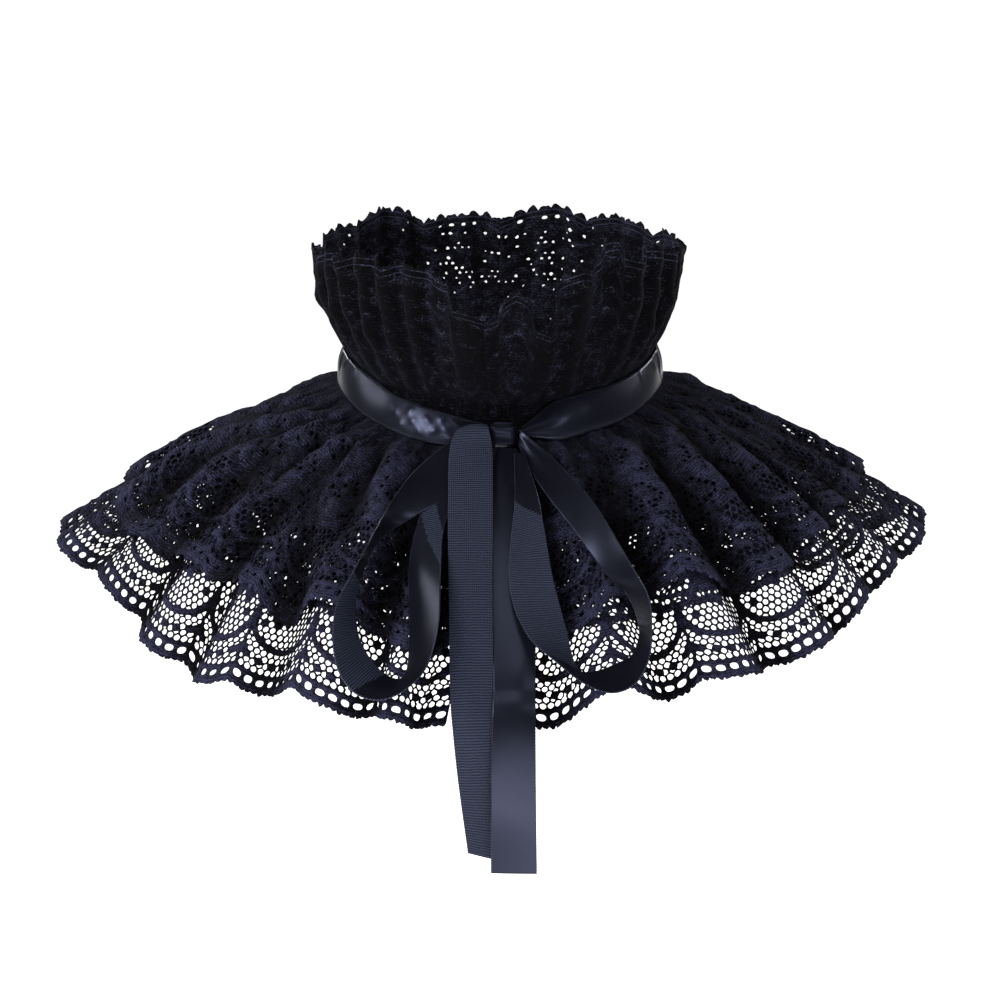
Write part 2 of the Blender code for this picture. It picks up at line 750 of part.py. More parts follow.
UPPER_SLANTS = (0.0, 6.0, 12.0, 28.0, 48.0, 78.0)
LOWER_SLANTS = (0.0, 6.0, 36.0, 76.0, 112.0)

lace_tier("tier_lower_left", lower_tier, lower_hem, LOWER_SLANTS, -1, (2, 3, 4))
lace_tier("tier_lower_right", lower_tier, lower_hem, LOWER_SLANTS, 1, (2, 3, 4))
lace_tier("tier_upper_left", upper_tier, upper_hem, UPPER_SLANTS, -1, (2, 4))
lace_tier("tier_upper_right", upper_tier, upper_hem, UPPER_SLANTS, 1, (2, 4))
ruff_half("ruff_left", -1)
ruff_half("ruff_right", 1)
band()
knot()
ribbon("ribbon_loop_left", LEFT_LOOP)
ribbon("ribbon_loop_right", RIGHT_LOOP)
ribbon("ribbon_tail_left", LEFT_TAIL)
ribbon("ribbon_tail_right", RIGHT_TAIL)
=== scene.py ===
"""Looks of the lace collar: lace with its real holes on the forms of the tiers and the
ruff, a satin ribbon round the neck tied in a bow, their materials, floor, light and camera.

Sizes are millimetres and turn into metres when a mesh is made. The wearer faces -Y, +Z is
up, and the origin is the centre of the neck ring. Azimuth is measured from centre front,
positive towards +X. Slant is the distance along the cloth from the neck ring. On the flat
lace, across runs along the hem from the front edge and up runs from the hem to the neck.
"""

import bpy
import numpy as np
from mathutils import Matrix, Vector
from mathutils.geometry import delaunay_2d_cdt


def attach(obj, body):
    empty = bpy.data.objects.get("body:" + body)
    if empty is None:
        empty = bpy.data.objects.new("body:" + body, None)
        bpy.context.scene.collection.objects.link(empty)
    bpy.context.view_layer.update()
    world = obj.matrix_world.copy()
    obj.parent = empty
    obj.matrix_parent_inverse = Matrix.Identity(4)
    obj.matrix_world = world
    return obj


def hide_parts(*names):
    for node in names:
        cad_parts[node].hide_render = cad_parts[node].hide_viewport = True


MM = 0.001

# ---- forms of the cloth, in the sizes of the frame's solids ----------------
UP = np.array([0.0, 0.0, 1.0])
NECK_HALF_WIDTH = 64.0
NECK_HALF_DEPTH = 60.0
NECK_LEVEL = (-1.4, -9.2, -2.9)  # mean, tilt to the front, dip at front and back
TIER_LAP_OUT = 1.35  # the tiers start this far outside the neck ring
TIER_LAP_UP = (2.0, -2.5)  # and this far over it: all round, more at the front
RUFF_DROP = 0.7  # the ruff starts this far below the ring
RUFF_STILL = 12.2  # height up to which it stands without pleats, and as a share
RUFF_STILL_SHARE = 0.18
TUCK = 7.0  # slant over which the cape leaves the neckband
TUCK_SLOPE = 78.0  # degrees below level at the neck ring
TUCK_POWER = 1.5
STILL = 8.0  # slant where the folds begin
FORM_SLANT = 141.0  # slant where the slopes and the folds of the tables are reached
CAPE_STEPS = 40  # pieces that a slant is added up from
BORDER_DEEP = 8.5  # the length of a tier is measured half of this above its hem
TIER_GAP_NECK = 1.35  # from the lower tier to the upper one, at the neck and at the hem
TIER_GAP_HEM = 2.6
RIDGE_START = 12.0  # slant just outside the neckband
RIDGE_RISE = 13.0
RIDGE_FADE = ((70.0, 110.0), (1.0, 0.5))  # slants, share of the height left
FRONT_EDGE_NECK = 1.8  # azimuth of the front edges at the neck
FRONT_SPREAD = (6.4, 3.6)  # how far the left and the right edge lean away at the hem
FRONT_BLEND = 20.0
UPPER_SLANT = 100.0
UPPER_FOLD_MORE = 0.2  # how much taller the folds of the upper tier get towards its hem
TIER_CREST = (1.6, 1.4)  # depth of the valleys between folds, narrowness of the valleys
RUFF_CRISP = (1.7, 1.8)  # the same for the pleats in front
RUFF_SOFT = (1.4, 1.0)  # and for those at the back
RUFF_FRONT = 0.4  # widens the front where the pleats are crisp
RUFF_FLARE = 2.2
RUFF_GROWN = 0.6  # share of the height where the pleats are full
FOLD_GROWTH = 0.8
FOLD_MOST = 1.2  # share of the form's slant where the folds stop growing
BAND_OVER = 1.8  # the neckband's lower edge over the upper tier
CHEST_REACH = 160.0  # half width of the cape, for a first guess of an azimuth
CHEST_ROUNDS = 8  # rounds that bring that guess to the right azimuth
CHEST_ROWS = 60

# Form of the cape, row per azimuth:
# azimuth, slope under the neckband, slope at the hem (degrees below level),
# slant of the lower tier
CAPE_FORM = (
    (-180, 57, 84, 147), (-150, 50, 78, 147), (-120, 35, 52, 146), (-105, 24, 35, 149),
    (-92, 24, 35, 149), (-78, 26, 51, 137), (-65, 32, 60, 141), (-50, 36, 62, 143), (-35, 34, 60, 139),
    (-20, 35, 61, 142), (-9, 37, 63, 141), (4, 38, 64, 142), (12, 35, 59, 135), (25, 31, 57, 139),
    (40, 28, 55, 141), (52, 26, 54, 140), (65, 24, 52, 133), (78, 23, 46, 133), (92, 23, 35, 140),
    (105, 23, 36, 140), (120, 35, 53, 145), (150, 50, 78, 147), (180, 57, 84, 147),
)

# Folds of the cape, row per fold: azimuth of the crest, crest height at the hem
CAPE_FOLDS = (
    (-168, 5.5), (-155, 4.5), (-141, 6), (-128, 5), (-115, 6), (-102, 3.5), (-90, 2.6), (-78, 2.6),
    (-64, 5.5), (-49, 6), (-28, 7.5), (-13, 6.5), (-4, 1.5), (17, 7), (34, 7.5), (50, 6.5), (63, 5),
    (76, 3), (88, 2.4), (100, 3.5), (113, 4.5), (127, 5.5), (141, 6), (155, 4.5), (169, 5.5),
)

# Hem of the upper tier, which droops between its main folds, row per azimuth: azimuth, slant
UPPER_HEM = (
    (-180, 100), (-150, 100), (-120, 101), (-105, 106), (-95, 114), (-84, 116), (-76, 112), (-66, 102),
    (-60, 105), (-54, 97), (-46, 103), (-38, 109), (-28, 99), (-20, 109), (-11, 112), (4, 102),
    (13, 103), (22, 94), (33, 96), (44, 106), (56, 101), (76, 98), (95, 105), (120, 100), (150, 100),
    (180, 100),
)

# Main folds of the upper tier, row per ridge: azimuth at each of three slants, half width
# in degrees, height
RIDGE_SLANTS = (15, 55, 95)
TIER_RIDGES = (
    (-164, -161, -159, 6.5, 4.4), (-149, -146, -147, 6, 3.8), (-132, -131, -129, 7, 4.6),
    (-116, -114, -116, 6, 3.8), (-79, -98, -101, 6, 3), (-64, -85, -88, 6.5, 4.6),
    (-53, -74, -73, 6.5, 4.8), (-45, -57, -58, 6, 5.6), (-41, -39, -33, 6.5, 4.6),
    (-33, -26, -22, 6, 4), (41, 35, 32, 7, 3.8), (57, 50, 46, 7, 3.8), (69, 66, 66, 7, 3.2),
    (84, 84, 84, 4, 2.8), (97, 99, 100, 6.5, 2.2), (111, 113, 115, 6.5, 4.4), (126, 129, 128, 6.5, 3.6),
    (140, 144, 146, 6, 4.4), (157, 160, 161, 7, 3.8),
)

# Form of the ruff rim, row per azimuth: azimuth, reach beyond the neck ring, rise
RUFF_FORM = (
    (-180, 14, 61), (-160, 14, 60), (-140, 14.5, 64), (-120, 14, 59), (-90, 14, 56), (-70, 15, 61),
    (-52, 18.5, 67), (-35, 23, 70), (-14, 27, 68), (-11, 36, 54), (-1, 38, 52), (1.4, 35.5, 59.5),
    (4, 34, 61.5), (6.2, 35.5, 59), (8.4, 38, 47), (12.5, 38, 46), (15, 30, 65), (23, 27, 70),
    (28, 25, 71), (30.5, 21, 78), (33.5, 21, 78), (36.5, 23, 70), (46, 19.5, 70), (60, 16, 65),
    (80, 13, 59), (90, 13, 57), (120, 13.5, 58), (145, 14, 61), (160, 14, 64), (180, 14, 61),
)

# Pleats of the ruff, row per pleat: azimuth of the crest, crest height at the rim
RUFF_FOLDS = (
    (-173, 3.5), (-162, 3), (-151, 3.8), (-140, 3.2), (-129, 3.6), (-118, 3), (-107, 3.8), (-96, 3.2),
    (-85, 3), (-74, 3.6), (-63, 3.2), (-52, 3.6), (-42, 3.4), (-33, 3.2), (-24, 3.4), (-15, 2.6),
    (-6, 1), (4, 1.6), (12, 0.8), (21, 3.4), (33, 3), (43, 3.4), (53, 3), (63, 3.6), (73, 3.2), (84, 3),
    (95, 3.6), (106, 3), (117, 3.6), (128, 3.2), (139, 3.8), (150, 3), (161, 3.6), (172, 3.2),
)

# Ribbons, row per section. Each end of the section has its place across, its
# height, and its stand-off in front of the plain cape.
LEFT_LOOP = (
    (-5.9, -11, 8, -5.3, -17, 8), (-17.5, -14.5, 9, -13, -22.5, 9), (-33, -24.5, 12, -23, -36, 10.5),
    (-43, -34.5, 19.4, -34, -42, 12.5), (-50.5, -45.5, 29.2, -49, -51, 14),
    (-58.5, -59, 32.2, -55.5, -62.5, 14.5), (-65.5, -71.5, 33.2, -58.5, -74, 15),
    (-67, -84, 33.2, -57.5, -84, 15), (-64.5, -95.5, 32.2, -54, -91.5, 14),
    (-57.5, -103.5, 31.2, -48.5, -97.5, 14), (-47.5, -105.5, 31.2, -43.5, -100.5, 13.5),
    (-37.5, -101.5, 31.2, -39.5, -100.5, 13.5), (-29, -93, 31.2, -37, -95.5, 13.5),
    (-24.5, -78, 30.2, -36.5, -80, 13.5), (-24, -60, 25.4, -37, -61, 13.5),
    (-23, -47, 15.5, -34, -46, 11.5), (-17.5, -33, 9.5, -27, -30.5, 8.5),
    (-5.5, -18.8, 7.5, -9.5, -24, 7),
)
RIGHT_LOOP = (
    (7.8, -11, 8, 7.6, -17.5, 8), (18.5, -19, 12, 12.5, -26, 10), (28, -26.5, 15, 19, -34.5, 11.5),
    (40, -38.5, 20.4, 29.5, -46, 13), (52.5, -56.5, 29.2, 42, -61, 14.5),
    (59.5, -68, 32.2, 51.5, -70, 15), (60.5, -80, 32.2, 56, -82, 15), (59, -90, 32.2, 53, -91, 14.5),
    (53.5, -98.5, 31.2, 47, -94, 14), (44, -101.5, 31.2, 39.5, -96.5, 14.5),
    (33, -98, 31.7, 33, -97, 15), (21.5, -90.5, 30.7, 29.5, -93, 15), (12, -84, 26.9, 27, -83.5, 15),
    (5.5, -73.5, 21.4, 24, -73, 15.5), (3.5, -61.5, 19.9, 21, -62, 15.5), (4.5, -49, 17, 18, -46, 14.5),
    (6, -36, 15.5, 15.5, -34.5, 13.5), (5.8, -19.6, 13, 10, -19.6, 12),
)
LEFT_TAIL = (
    (-12.5, -9, 9.5, -5.5, -9, 9.5), (-18.5, -12, 12.5, -4.5, -11, 12.8),
    (-21, -20, 14.5, -3.2, -19, 14.5), (-21.3, -34, 14.5, -3, -34, 15.5),
    (-21.2, -52, 16, -3, -52, 16.5), (-20.6, -77, 16.5, -3, -77, 17),
    (-20, -106, 15.5, -2.5, -106, 15.5), (-18.8, -121, 13.5, -1.4, -121, 13.5),
    (-16.6, -142, 12.5, 0.8, -142, 12.5), (-12.9, -170, 12, 4.8, -174.5, 12),
)
RIGHT_TAIL = (
    (-1.5, -18.7, 9, 6.6, -18.7, 8.5), (-4, -30, 11, 10.5, -30, 10.5),
    (-4, -47.5, 12.5, 12.5, -47.5, 11), (-3.6, -72, 13.5, 14.3, -72, 12),
    (-2.9, -94, 15.5, 14.3, -94, 14.2), (-2.7, -104, 16.6, 14.2, -104, 15),
    (-3.2, -117, 17.2, 14.2, -117, 15.6), (-3.7, -148, 16.5, 14.4, -148, 15.5),
    (-3.6, -177.5, 15.5, 14.8, -177.5, 15.5),
)

# Form of the neckband, row per azimuth: azimuth, height of the top edge over the neck ring,
# its reach beyond the ring, slant of the lower edge, share of the width left by the pinch
# at the knot, camber
BAND_FORM = (
    (-180, 11.7, 1.6, 9, 1, 1.2), (-120, 12.5, 2.4, 8, 1, 0.9), (-90, 14.6, 3.4, 5.5, 1, 0.4),
    (-70, 13.4, 2.9, 6.5, 1, 0.6), (-50, 11, 2.2, 8.6, 1, 0.8), (-40, 9.4, 4.2, 9.8, 1, 1),
    (-28, 8.4, 5.2, 11, 1, 1), (-18, 6.6, 5, 11, 1, 1), (-8, 4.8, 3, 10, 0.9, 1),
    (0, 4.5, 1.6, 9, 0.6, 0.9), (7, 5.4, 1.6, 9, 0.34, 0.9), (12, 8.2, 1.6, 9, 0.6, 1.2),
    (19, 10.8, 1.6, 8.6, 1, 1.8), (30, 12.6, 1.8, 8.4, 1, 1.8), (45, 12.4, 2, 8.4, 1, 1.4),
    (60, 12.8, 2.5, 7, 1, 0.8), (72, 13.8, 3, 6, 1, 0.4), (90, 15.2, 3.5, 5.5, 1, 0.3),
    (120, 12.5, 2.4, 8, 1, 0.9), (180, 11.7, 1.6, 9, 1, 1.2),
)

# Small gathers under the neckband, of uneven sizes: how many go round, how far they reach
# down the cloth, their half width in degrees and their height
GATHERS = 58
GATHER_REACH = (34.0, 105.0)
GATHER_HALF_WIDE = (2.5, 3.6)
GATHER_TALL = (1.2, 2.4)
GATHER_UNEVEN = 0.3
GATHER_START = 4.0  # slant where the gathers begin
GATHER_GROW = 12.0
GATHER_FADE = 0.6
GATHER_SEED = 11

# Wrinkles of the neckband, row per wrinkle: azimuth, place across, half length and
# half width in millimetres, lean from upright in degrees, height
BAND_WRINKLES = (
    (-97, 0.45, 9, 1.5, 10, 0.7), (-90, 0.4, 8, 1.4, -6, 0.7), (-83, 0.35, 8, 1.6, 14, 0.8),
    (-77, 0.3, 5, 1.5, -24, 0.5), (-66, 0.2, 4, 1.4, 10, 0.3), (96, 0.45, 9, 1.5, -10, 0.7),
    (89, 0.4, 9, 1.4, 6, 0.8), (82, 0.35, 8, 1.6, -12, 0.8), (75, 0.3, 5, 1.5, 20, 0.5),
    (62, 0.2, 4, 1.4, -10, 0.3), (-38, 0.4, 2.6, 1.6, 30, 0.3), (-35, 0.7, 2.4, 1.4, -10, 0.3),
    (-32, 0.25, 2.2, 1.5, -20, 0.4), (-30, 0.5, 2, 1.6, 40, 0.35), (-27, 0.75, 2.6, 1.5, 24, 0.35),
    (-25, 0.35, 2, 1.3, 50, 0.45), (-22, 0.6, 2.2, 1.5, -30, 0.4), (-20, 0.2, 2, 1.3, 10, 0.45),
    (-18, 0.45, 2, 1.4, 36, 0.4), (-16, 0.75, 2.6, 1.4, 50, 0.4), (-14, 0.3, 2.2, 1.2, 60, 0.45),
    (-11, 0.55, 3.4, 1.3, 70, 0.5), (12, 0.36, 1.5, 8, 0, 0.5), (13, 0.66, 1.5, 9, 0, 0.5),
    (22, 0.5, 2.4, 5, 10, 0.35), (33, 0.35, 3, 3, -24, 0.25), (130, 0.5, 8, 1.9, 10, 0.7),
    (150, 0.45, 8, 2, -12, 0.8), (172, 0.5, 7, 1.8, 14, 0.7), (-130, 0.5, 8, 1.9, -10, 0.7),
    (-150, 0.45, 8, 2, 12, 0.8), (-168, 0.5, 7, 1.8, -14, 0.6),
)

# Creases of the bow, row per crease: place along and across as shares, half length and
# half width in millimetres, lean from along in degrees, height
LEFT_LOOP_CREASES = (
    (0.03, 0.4, 12, 2, 0, -0.5), (0.05, 0.75, 10, 1.6, 4, 0.4), (0.50, 0.5, 7, 5, 0, 0.4),
)
RIGHT_LOOP_CREASES = (
    (0.03, 0.4, 12, 2, 0, -0.5), (0.05, 0.7, 10, 1.6, -4, 0.4), (0.52, 0.5, 7, 5, 0, 0.4),
)
# Where the twill back of a loop is turned to the front: from and to, as shares of the
# length, and the lean of the turn's edge across the ribbon
LEFT_LOOP_TURNED = ((0.33, 0.51, 0.02), (0.81, 0.88, 0.10))
RIGHT_LOOP_TURNED = ((0.60, 0.885, -0.04),)

LEFT_TAIL_CREASES = (
    (0.08, 0.5, 7, 6, 0, 0.5), (0.7, 0.4, 25, 5, 6, 0.5),
)
RIGHT_TAIL_CREASES = (
    (0.1, 0.35, 14, 2.5, 4, 0.5), (0.6, 0.6, 20, 6, -5, 0.5),
)


# ---- tables --------------------------------------------------------------
def unit(share):
    """A share kept between 0 and 1."""
    return np.clip(share, 0.0, 1.0)


def ease(share):
    """A share kept between 0 and 1, made to start and stop softly."""
    share = unit(share)
    return share * share * (3.0 - 2.0 * share)


def between(stops, azimuth):
    """Number of the stop below each azimuth, and its share of the way to the next stop."""
    low = np.clip(np.searchsorted(stops, azimuth, side="right") - 1, 0, len(stops) - 2)
    return low, (azimuth - stops[low]) / (stops[low + 1] - stops[low])


def eased(table, column, azimuth):
    """Read a column of a table of azimuths, easing from one row to the next."""
    rows = np.array(table, dtype=float)
    low, share = between(rows[:, 0], azimuth)
    share = ease(share)
    return rows[low, column] * (1.0 - share) + rows[low + 1, column] * share


def smooth(table, column, azimuth):
    """Read a column of a closed table as one flowing curve round the neck."""
    rows = np.array(table, dtype=float)
    angle = np.concatenate([rows[:-1, 0] - 360.0, rows[:, 0], rows[1:, 0] + 360.0])
    value = np.concatenate([rows[:-1, column], rows[:, column], rows[1:, column]])
    lean = np.gradient(value, angle)
    low, t = between(angle, azimuth)
    step = angle[low + 1] - angle[low]
    near = (2 * t**3 - 3 * t**2 + 1) * value[low] + (t**3 - 2 * t**2 + t) * step * lean[low]
    far = (3 * t**2 - 2 * t**3) * value[low + 1] + (t**3 - t**2) * step * lean[low + 1]
    return near + far


def fold_wave(folds, azimuth, deep, power):
    """Height of the folds at an azimuth: broad crests with narrow valleys between."""
    rows = np.array(folds, dtype=float)
    turn = np.array([[360.0, 0.0]])
    rows = np.concatenate([rows[-1:] - turn, rows, rows[:1] + turn])
    low, share = between(rows[:, 0], azimuth)
    blend = ease(share)
    height = rows[low, 1] * (1.0 - blend) + rows[low + 1, 1] * blend
    return height * (1.0 - deep * np.sin(np.pi * share) ** (2.0 * power))


# ---- surfaces ------------------------------------------------------------
def paired(first, second):
    """Two inputs as arrays of one shape."""
    return np.broadcast_arrays(np.asarray(first, float), np.asarray(second, float))


def around(azimuth):
    """The same azimuth between -180 and 180 degrees."""
    return (azimuth + 180.0) % 360.0 - 180.0


def outward(azimuth):
    """Level direction away from the neck."""
    turn = np.radians(azimuth)
    return np.stack([np.sin(turn), -np.cos(turn), np.zeros_like(turn)], axis=-1)


def neck_level(azimuth):
    """Height of the neck ring."""
    turn = np.radians(azimuth)
    return NECK_LEVEL[0] + NECK_LEVEL[1] * np.cos(turn) + NECK_LEVEL[2] * np.cos(2 * turn)


def neck_ring(azimuth):
    """Line round the neck that all the strips are sewn to."""
    turn = np.radians(azimuth)
    across = NECK_HALF_WIDTH * np.sin(turn)
    along = -NECK_HALF_DEPTH * np.cos(turn)
    return np.stack([across, along, neck_level(azimuth)], axis=-1)


def cape_slope(azimuth, slant):
    """Degrees below level: steep under the neckband, then flaring, then falling."""
    top = smooth(CAPE_FORM, 1, azimuth)
    hem = smooth(CAPE_FORM, 2, azimuth)
    slope = top + (hem - top) * slant / FORM_SLANT
    under = unit(1.0 - slant / TUCK) ** TUCK_POWER
    return np.radians(slope + (TUCK_SLOPE - slope) * under)


def front_azimuth(cloth_azimuth, slant):
    """The front edges of the tiers lean away from centre front towards the hem."""
    fall = slant / FORM_SLANT
    edge = FRONT_EDGE_NECK + np.where(cloth_azimuth < 0, *FRONT_SPREAD) * fall
    size = np.abs(cloth_azimuth)
    scale = (FRONT_BLEND - edge) / (FRONT_BLEND - FRONT_EDGE_NECK)
    near = edge + (size - FRONT_EDGE_NECK) * scale
    return np.where(size < FRONT_BLEND, np.sign(cloth_azimuth) * near, cloth_azimuth)


def cape(azimuth, slant):
    """Plain cape without folds: points and the direction that faces out."""
    azimuth, slant = paired(azimuth, slant)
    steps = (np.arange(CAPE_STEPS) + 0.5) / CAPE_STEPS
    slopes = cape_slope(azimuth[..., None], slant[..., None] * steps)
    reach = np.cos(slopes).mean(axis=-1) * slant
    fall = np.sin(slopes).mean(axis=-1) * slant
    slope = cape_slope(azimuth, slant)[..., None]
    front = unit(np.cos(np.radians(azimuth))) ** 2
    level = TIER_LAP_UP[0] + TIER_LAP_UP[1] * front - fall
    points = neck_ring(azimuth) + outward(azimuth) * (TIER_LAP_OUT + reach)[..., None]
    points = points + UP * level[..., None]
    facing = outward(azimuth) * np.sin(slope) + UP * np.cos(slope)
    return points, facing


def tier_folds(cloth_azimuth, slant):
    """Height of the folds that both tiers share, growing from the neck to the hem."""
    growth = np.clip((slant - STILL) / (FORM_SLANT - STILL), 0.0, FOLD_MOST) ** FOLD_GROWTH
    return fold_wave(CAPE_FOLDS, cloth_azimuth, *TIER_CREST) * growth


def ridges(azimuth, slant):
    """Height of the upper tier's main folds, which run from the neckband to the hem."""
    grow = unit((slant - RIDGE_START) / RIDGE_RISE) * np.interp(slant, *RIDGE_FADE)
    height = np.zeros(np.broadcast(azimuth, slant).shape)
    for *azimuths, half_wide, tall in TIER_RIDGES:
        centre = np.polyval(np.polyfit(RIDGE_SLANTS, azimuths, 2), slant)
        away = np.abs(around(azimuth - centre)) / half_wide
        height = np.maximum(height, tall * grow * np.cos(unit(away) * np.pi / 2) ** 2)
    return height


def lower_hem(azimuth):
    """Slant of the lower tier at its hem."""
    return smooth(CAPE_FORM, 3, azimuth)


def upper_hem(azimuth):
    """Slant of the upper tier at its hem."""
    return smooth(UPPER_HEM, 1, azimuth)


def lifted(cloth_azimuth, slant, height):
    """Points of the plain cape, moved out by a height."""
    points, facing = cape(front_azimuth(cloth_azimuth, slant), slant)
    return points + facing * height[..., None]


def lower_tier(cloth_azimuth, slant):
    """Middle surface of the lower tier."""
    return lifted(cloth_azimuth, slant, tier_folds(cloth_azimuth, slant))


def upper_tier(cloth_azimuth, slant):
    """Middle surface of the upper tier, over the folds of the lower one."""
    share = slant / UPPER_SLANT
    height = tier_folds(cloth_azimuth, slant) * (1.0 + UPPER_FOLD_MORE * share)
    height = height + ridges(cloth_azimuth, slant)
    height = height + TIER_GAP_NECK + (TIER_GAP_HEM - TIER_GAP_NECK) * share
    return lifted(cloth_azimuth, slant, height)


def ruff(azimuth, share):
    """Ruff surface from the ring (share 0) to the rim (share 1)."""
    azimuth, share = paired(azimuth, share)
    reach = eased(RUFF_FORM, 1, azimuth)
    rise = eased(RUFF_FORM, 2, azimuth) + RUFF_DROP
    still = unit(share / RUFF_STILL_SHARE)
    open_share = np.clip((share - RUFF_STILL_SHARE) / (1.0 - RUFF_STILL_SHARE), 0.0, None)
    flare = 1.0 - unit(1.0 - open_share) ** RUFF_FLARE
    growth = unit(open_share / RUFF_GROWN) ** FOLD_GROWTH
    front = unit(RUFF_FRONT + np.cos(np.radians(azimuth)))
    crisp = fold_wave(RUFF_FOLDS, azimuth, *RUFF_CRISP)
    soft = fold_wave(RUFF_FOLDS, azimuth, *RUFF_SOFT)
    height = (0.5 + 0.5 * front) * (soft + (crisp - soft) * front) * growth
    level = RUFF_STILL * still + (rise - RUFF_STILL) * open_share - RUFF_DROP
    points = neck_ring(azimuth) + outward(azimuth) * (reach * flare + height)[..., None]
    return points + UP * level[..., None]


def neckband(azimuth, share):
    """Ribbon round the neck: upright over the ruff, turned out over the gathers."""
    azimuth, share = paired(azimuth, share)
    columns = (smooth(BAND_FORM, column, azimuth)[..., None] for column in (1, 2, 3, 4, 5))
    rise, reach, slant, width, camber = columns
    top = neck_ring(azimuth) + outward(azimuth) * reach + UP * rise
    points, facing = cape(azimuth, slant[..., 0])
    hem = points + facing * (TIER_GAP_NECK + BAND_OVER)
    bulge = outward(azimuth) * camber * 4.0 * (share * (1.0 - share))[..., None]
    points = top + (hem - top) * share[..., None] + bulge
    return (top + hem) / 2 + (points - (top + hem) / 2) * width


def cape_front(across, height):
    """Depth of the plain cape's front below a place across and a height."""
    slants = np.linspace(0.0, FORM_SLANT, CHEST_ROWS)
    azimuth = np.degrees(np.arcsin(np.clip(across / CHEST_REACH, -1.0, 1.0)))
    for _ in range(CHEST_ROUNDS):
        profile = cape(np.full(CHEST_ROWS, azimuth), slants)[0]
        slant = np.interp(-height, -profile[:, 2], slants)
        depth = float(cape(azimuth, slant)[0][1])
        azimuth = np.degrees(np.arctan2(across, -depth))
    return depth


def facing_of(grid):
    """Unit direction that faces out at each point of a grid of rows and columns."""
    down = np.gradient(grid, axis=0)
    along = np.gradient(grid, axis=1)
    facing = np.cross(down, along)
    return facing / np.linalg.norm(facing, axis=-1, keepdims=True)


# ---- flat lace: the chart of one repeat -------------------------------------
REPEAT = 41.0
CELLS_ACROSS = 12
CELL_WIDE = REPEAT / CELLS_ACROSS
ROW_TALL = 2.65
CELL_START = (0.25, 0.6)  # place of the first cell's middle, in cells
CELL_UNEVEN = 0.12
CELL_TALLER = 1.3  # a cell reaches between the cells of the next row
CELL_SIDES = ((1, 0), (0.5, 1), (-0.5, 1), (-1, 0), (-0.5, -1), (0.5, -1))  # cells beside one
CELL_SEARCH = np.linspace(-0.42, 0.42, 7)  # places of a cell that are tried for a hole
STRAND_UNEVEN = (0.9, 1.0, 0.5)  # thinnest, thickest, more where cells are shut
STRAND_FINE = 0.5
STRAND_ROOM = 0.05
HOLE_POINTS = 10
HOLE_TURN = 0.3
HOLE_CORNER = 12  # power that squares a round hole into its cell
HOLE_SIZES = (0.94, 1.03)
HOLE_SHARES = np.linspace(0.1, 1.0, 12)  # steps in which a hole reaches for a figure
HOLE_LEAST = 0.4  # smallest hole that stays open, square millimetres
HOLE_UNEVEN = 0.24  # how much uneven strands add to the unevenness of a hole
OPEN_LEAST = 0.2  # share of a cell that has to be clear of figures
FIGURE_DEEP = 2.6  # this deep inside a figure there is no hole
FIGURE_CLEAR = 0.3
FIGURE_RIM = 0.12
FIGURE_RISE = 0.9  # depth inside a figure where its full relief is reached
STEM_HALF_WIDE = 0.5
BORDER_TALL = 7.4  # solid border from the hem to the first net holes
BORDER_LINES = (1.1, 6.5)  # heights of two rows of points that keep the border even
SEAM_CLEAR = 0.01  # points of the border stay this far from the side of a repeat
TOP_CLEAR = 0.5
SAME_PLACE = 1e-4
SAME_POINT = 1e-5
NO_AREA = 1e-7
BORDER_STOPS = np.linspace(1.0, REPEAT - 1.0, 20)
SCALLOP_DEEP = 4.0
SCALLOP_POWER = 1.5
SCALLOP_FADE = (9.0, 27.0)  # the rows of net straighten between these heights
PICOT_STEPS = 5  # points for each picot
PICOT_POWER = 0.7
PICOT_WAVE = (0.72, 0.28, 5, 1.0)  # height of the picots: mean, swing, waves in a repeat, start
PICOT_FUZZ = 0.28
EYELETS = 7
EYELET_UP = 4.15
EYELET_HALF = (2.15, 1.55)  # half width and half height
EYELET_UNEVEN = ((0.86, 1.08), (0.88, 1.06), (-0.15, 0.15))  # width, height, place
EYELET_POINTS = 12
EYELET_POWER = 0.85
SWAG_FOOT = 18.6
SWAG_TOP = 31.0
SWAG_HALF_ACROSS = 19.2
SWAG_HALF_WIDE = 1.25
SWAG_END = 6.0  # the cord thins out over this height above its top
SWAG_PAST = 3.0  # distance that keeps the net clear beyond it
SWAG_STOPS = np.linspace(0.04, 0.96, 26)
DOTS = 6
DOT_UP = 12.9
DOT_SWAY = 1.0
DOT_HALF = (2.0, 1.6)
PETAL_DEEP = 0.26
PETAL_POWER = 0.8
FLOWER_STEP = 14.0  # height from one row of flowers to the next
FLOWER_FIRST = 46.0
FLOWER_REACH = 8.2
FLOWER_ROWS = 8

# Flowers, row per flower: across, up, reach, petals, turn of the first petal in degrees
FLOWERS = [(0.0, 15.6, 3.2, 4, 0.0)]
for row in range(FLOWER_ROWS):
    place = REPEAT / 2 * (1 - row % 2), FLOWER_FIRST + FLOWER_STEP * row
    FLOWERS.append((*place, FLOWER_REACH, 6 - row % 2, 30.0 * (row % 3)))

# Leaves beside each large flower: across and up from its heart, half length, half width, turn
FLOWER_LEAVES = (
    (10.6, 4, 5.2, 2.1, 38), (-10.6, 4, 5.2, 2.1, -38), (9.8, -5.2, 4.6, 1.9, -42),
    (-9.8, -5.2, 4.6, 1.9, 42), (0, -10.6, 2.4, 2.6, 0),
)


def beside(across, centre):
    """Distance across from a centre, the short way round the repeat."""
    return (across - centre + REPEAT / 2) % REPEAT - REPEAT / 2


